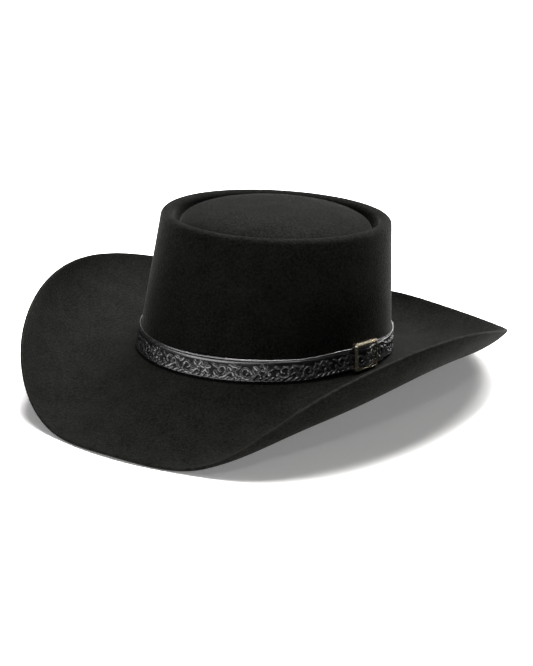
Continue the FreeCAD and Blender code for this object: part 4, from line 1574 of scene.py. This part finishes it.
@dataclass
class Sweatband:
    """Leather band round the foot of the crown, with its reed, tape, bow, patch and tab."""

    form: HatForm
    stitches: StitchRow
    thick: float = 1.1
    seam_gap: float = 0.5
    thread_proud: float = 0.1
    stitch_height: float = 4.0
    finish: LeatherFinish = LeatherFinish(
        "sweat_leather", (0.012, 0.0105, 0.0095), (0.035, 0.030, 0.026)
    )
    thread: PlainFinish = PlainFinish(
        "sewing_thread", (0.03, 0.028, 0.026), (0.07, 0.066, 0.06), 0.6
    )
    paper: PlainFinish = PlainFinish("tab_paper", (0.62, 0.58, 0.5), (0.78, 0.74, 0.66), 0.7)
    reed: PlainFinish = PlainFinish("reed_plastic", (0.62, 0.58, 0.5), (0.74, 0.7, 0.62), 0.42)
    tape: ClothFinish = ClothFinish(
        "reed_tape_cloth", (0.008, 0.008, 0.008), (0.02, 0.02, 0.02), 900.0, 0.7, 0.2
    )
    ribbon: ClothFinish = ClothFinish(
        "bow_satin", (0.008, 0.008, 0.009), (0.022, 0.022, 0.024), 1500.0, 0.32, 0.3
    )

    def build(self) -> None:
        """Build the band and its stitches, and dress the rest."""
        leather = self.finish.material()
        self.band(leather)
        thread = self.thread.material()
        self.foot_stitches(thread)
        self.seam_stitches(thread)
        dress_node("seam_patch", leather)
        dress_node("size_tab", self.paper.material())
        dress_node("sweatband_reed", self.reed.material())
        dress_node("reed_tape", self.tape.material())
        satin = self.ribbon.material()
        dress_node("bow_ribbon", satin)
        dress_node("bow_knot", satin)

    def band(self, leather: bpy.types.Material) -> None:
        """Build the leather in place of the CAD solid.

        Args:
            leather: its finish.
        """
        form = self.form
        lip = 0.25
        half_gap = self.seam_gap / 2 / form.base_width
        turn = np.linspace(-math.pi + half_gap, math.pi - half_gap, 361)
        levels = np.linspace(form.sweat_foot, form.sweat_top, 28)
        loop = [(0.0, level) for level in levels]
        loop += [(-self.thick * share, form.sweat_top + lip) for share in (0.25, 0.75)]
        loop += [(-self.thick, level) for level in levels[::-1]]
        sections = np.stack([self.puckered(turn, outward, level) for outward, level in loop], axis=1)
        band = strip_object("sweatband_leather", form.row(sections), closed=False)
        dress(band, leather)
        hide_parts("sweatband")
        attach(band, "hat")
        log.info("sweatband: %d faces", len(band.data.polygons))

    def foot_stitches(self, thread: bpy.types.Material) -> None:
        """Sew the row along the band's foot.

        Args:
            thread: finish of the thread.
        """
        turn = np.linspace(-math.pi, math.pi, 400, endpoint=False)
        row = self.puckered(turn, -self.thick - self.thread_proud, self.stitch_height)
        path = self.form.row(row)
        foot = self.stitches.sew("sweatband_stitches", path, True, Thread.SWEATBAND, 2.6, 170, thread)
        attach(foot, "hat")

    def seam_stitches(self, thread: bpy.types.Material) -> None:
        """Sew a row on each side of the seam at the back.

        Args:
            thread: finish of the thread.
        """
        form = self.form
        apart = 0.02
        heights = np.linspace(9.0, form.sweat_top - 3.0, 24)
        for side, name in ((-1, "seam_stitches_left"), (1, "seam_stitches_right")):
            turn = np.array(math.pi + side * apart)
            edge = [form.sweat(turn, -self.thick - self.thread_proud, height) for height in heights]
            path = form.row(np.array(edge))
            seam = self.stitches.sew(name, path, False, Thread.SEAM, 2.0, 17, thread)
            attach(seam, "hat")

    def puckered(self, turn: np.ndarray, outward: float, level: float) -> np.ndarray:
        """Points of the band, which waves a little towards its free top edge.

        Args:
            turn: turns from the front towards the wearer's left, in radians.
            outward: distance outward, negative towards the head.
            level: height above the crown's base.

        Returns:
            A point for each turn, in millimetres.
        """
        held, length = 12.0, 40.0
        free = float(smooth_step((level - held) / length))
        wave = 0.35 * free * np.sin(11 * turn + 0.6) + 0.2 * free * np.sin(17 * turn + 2.0)
        points = self.form.sweat(turn, outward - 0.25 * free, level)
        middle = np.array([0.0, self.form.base_centre, 0.0])
        away = points - middle
        away[..., 2] = 0
        away /= np.linalg.norm(away, axis=-1, keepdims=True)
        return points + away * np.minimum(wave, 0.3)[..., None]


@dataclass
class Lining:
    """Satin lining of the crown with a clear protector sewn to its tip."""

    form: HatForm
    thick: float = 0.4
    gap: float = 0.3
    foot: float = 12.0
    top: float = 79.0
    gathering: float = 1.06
    girth_height: float = 40.0
    pleat_foot: float = 0.15
    pleat_top: float = 0.9
    finish: ClothFinish = ClothFinish(
        "lining_satin", (0.010, 0.010, 0.012), (0.030, 0.030, 0.034), 1800.0, 0.36, 0.25
    )
    film: PlainFinish = PlainFinish(
        "clear_film", (0.85, 0.85, 0.84), (0.93, 0.93, 0.92), 0.12, 0.22
    )

    def build(self) -> None:
        """Build the gathered side and dress the tip and its protector."""
        form = self.form
        satin = self.finish.material()
        turn = np.linspace(-math.pi, math.pi, 720, endpoint=False)
        levels = np.linspace(self.foot, self.top - self.thick, 30)
        outer = form.felt + self.gap
        front, back = 0.05, 0.05 + self.thick * 0.6
        loop = [(front, level) for level in levels] + [(back, level) for level in levels[::-1]]
        crowd = (1 + np.sin(23 * turn + 0.5)) / 2
        pleat = 0.5 * (1 + np.sin(64 * turn + 1.7 * np.sin(5 * turn))) * crowd
        sections = []
        for inset, level in loop:
            drawn = float(smooth_step((level - self.girth_height) / 38.0))
            depth = (self.pleat_foot + (self.pleat_top - self.pleat_foot) * drawn) * pleat
            sections.append(form.wall(turn, -outer - inset - depth, level))
        side = strip_object("lining_side_gathered", form.row(np.stack(sections, axis=1)), closed=True)
        dress(side, satin)
        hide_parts("lining_side")
        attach(side, "hat")
        round_crown = np.diff(form.wall(turn, -outer, self.girth_height), axis=0)
        dress_node("lining_tip", satin)
        dress_node("tip_protector", self.film.material())


# ------------------------------------------------------------------ studio


@dataclass
class Softbox:
    """One large soft lamp."""

    name: str
    place: tuple[float, float, float]
    target: tuple[float, float, float]
    width: float
    height: float
    power: float

    def build(self) -> None:
        """Hang the lamp and aim it."""
        lamp = bpy.data.lights.new(self.name, "AREA")
        lamp.shape = "RECTANGLE"
        lamp.size = self.width
        lamp.size_y = self.height
        lamp.energy = self.power
        box = bpy.data.objects.new(self.name, lamp)
        bpy.context.collection.objects.link(box)
        place = Vector(self.place)
        aim = (Vector(self.target) - place).to_track_quat("-Z", "Y")
        box.matrix_world = Matrix.Translation(place) @ aim.to_matrix().to_4x4()


@dataclass
class Studio:
    """Pale floor, soft lamps and the camera."""

    form: HatForm
    azimuth: float = 35.35
    elevation: float = 19.61
    distance: float = 1623.67
    lens: float = 112.03
    across: float = -0.85
    above: float = 7.83
    roll: float = -0.38
    floor_reach: float = 9.0
    floor_height: float = -0.0004
    floor_colour: Colour = (0.95, 0.94, 0.925)
    floor_glow: float = 0.18
    daylight: float = 0.1
    softboxes: tuple[Softbox, ...] = (
        Softbox("overhead", (-0.15, 0.45, 2.1), (0.0, 0.0, 0.1), 1.1, 1.1, 140.0),
        Softbox("behind", (-0.15, 1.6, 2.0), (0.0, 0.0, 0.1), 1.6, 0.9, 140.0),
        Softbox("right_fill", (2.2, -1.4, 1.1), (0.1, -0.1, 0.0), 1.4, 0.9, 5.0),
        Softbox("left_high", (-1.2, -1.1, 1.5), (0.0, 0.0, 0.06), 0.26, 0.26, 4.0),
        Softbox("right_high", (1.3, -0.9, 1.6), (0.0, 0.0, 0.06), 0.26, 0.26, 3.2),
    )

    def floor(self) -> None:
        """Lay the floor."""
        mesh = bpy.data.meshes.new("floor")
        reach, low = self.floor_reach, self.floor_height
        corners = [(x * reach, y * reach, low) for x, y in ((-1, -1), (1, -1), (1, 1), (-1, 1))]
        mesh.from_pydata(corners, [], [(0, 1, 2, 3)])
        ground = bpy.data.objects.new("floor", mesh)
        bpy.context.collection.objects.link(ground)
        w, shader, _ = new_material("floor_paper")
        w.fill(
            shader,
            {
                "Base Color": rgba(self.floor_colour),
                "Roughness": 0.9,
                "Specular IOR Level": 0.1,
                "Emission Color": rgba(WHITE),
                "Emission Strength": self.floor_glow,
            },
        )
        dress(ground, w.material)
        ground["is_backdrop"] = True

    def camera(self) -> None:
        """Set the camera at three quarters, a little above the brim."""
        azimuth, elevation = math.radians(self.azimuth), math.radians(self.elevation)
        right = Vector((math.cos(azimuth), math.sin(azimuth), 0))
        level = Vector((math.sin(azimuth), -math.cos(azimuth), 0))
        back = level * math.cos(elevation) + Vector((0, 0, math.sin(elevation)))
        up = back.cross(right)
        target = right * self.across + Vector((0, 0, self.above)) + Vector(self.form.stand)
        roll = math.radians(self.roll)
        tilted = right * math.cos(roll) + up * math.sin(roll)
        up = up * math.cos(roll) - right * math.sin(roll)
        place = (target + back * self.distance) * MM
        lens = bpy.data.cameras.new("camera")
        lens.lens = self.lens
        lens.sensor_width = 36.0
        lens.clip_start = 0.05
        view = bpy.data.objects.new("camera", lens)
        bpy.context.collection.objects.link(view)
        axes = Matrix((tilted, up, back)).transposed()
        view.matrix_world = Matrix.Translation(place) @ axes.to_4x4()
        bpy.context.scene.camera = view

    def build(self) -> None:
        """Set up the whole studio."""
        self.floor()
        self.camera()
        for softbox in self.softboxes:
            softbox.build()
        world = bpy.data.worlds.new("studio")
        world.use_nodes = True
        background = world.node_tree.nodes["Background"]
        background.inputs["Color"].default_value = rgba(WHITE)
        background.inputs["Strength"].default_value = self.daylight
        bpy.context.scene.world = world
        bpy.context.scene.view_settings.view_transform = "Standard"
        log.info("studio: %d softboxes", len(self.softboxes))


def plain_box() -> list[list[float]]:
    """Corners of the model's box as plain lists."""
    return [[float(x) for x in corner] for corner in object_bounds()]


def main(cad_box: list[list[float]]) -> None:
    """Build every piece in order.

    Args:
        cad_box: the box of the CAD model; not used.
    """
    logging.basicConfig(level=logging.INFO, format="%(name)s %(message)s")
    form = HatForm()
    stitches = StitchRow()
    Felt(form).build()
    Hatband(form).build()
    Buckle().build()
    Sweatband(form, stitches).build()
    Lining(form).build()
    Studio(form).build()


if __name__ == "__main__":
    main(plain_box())
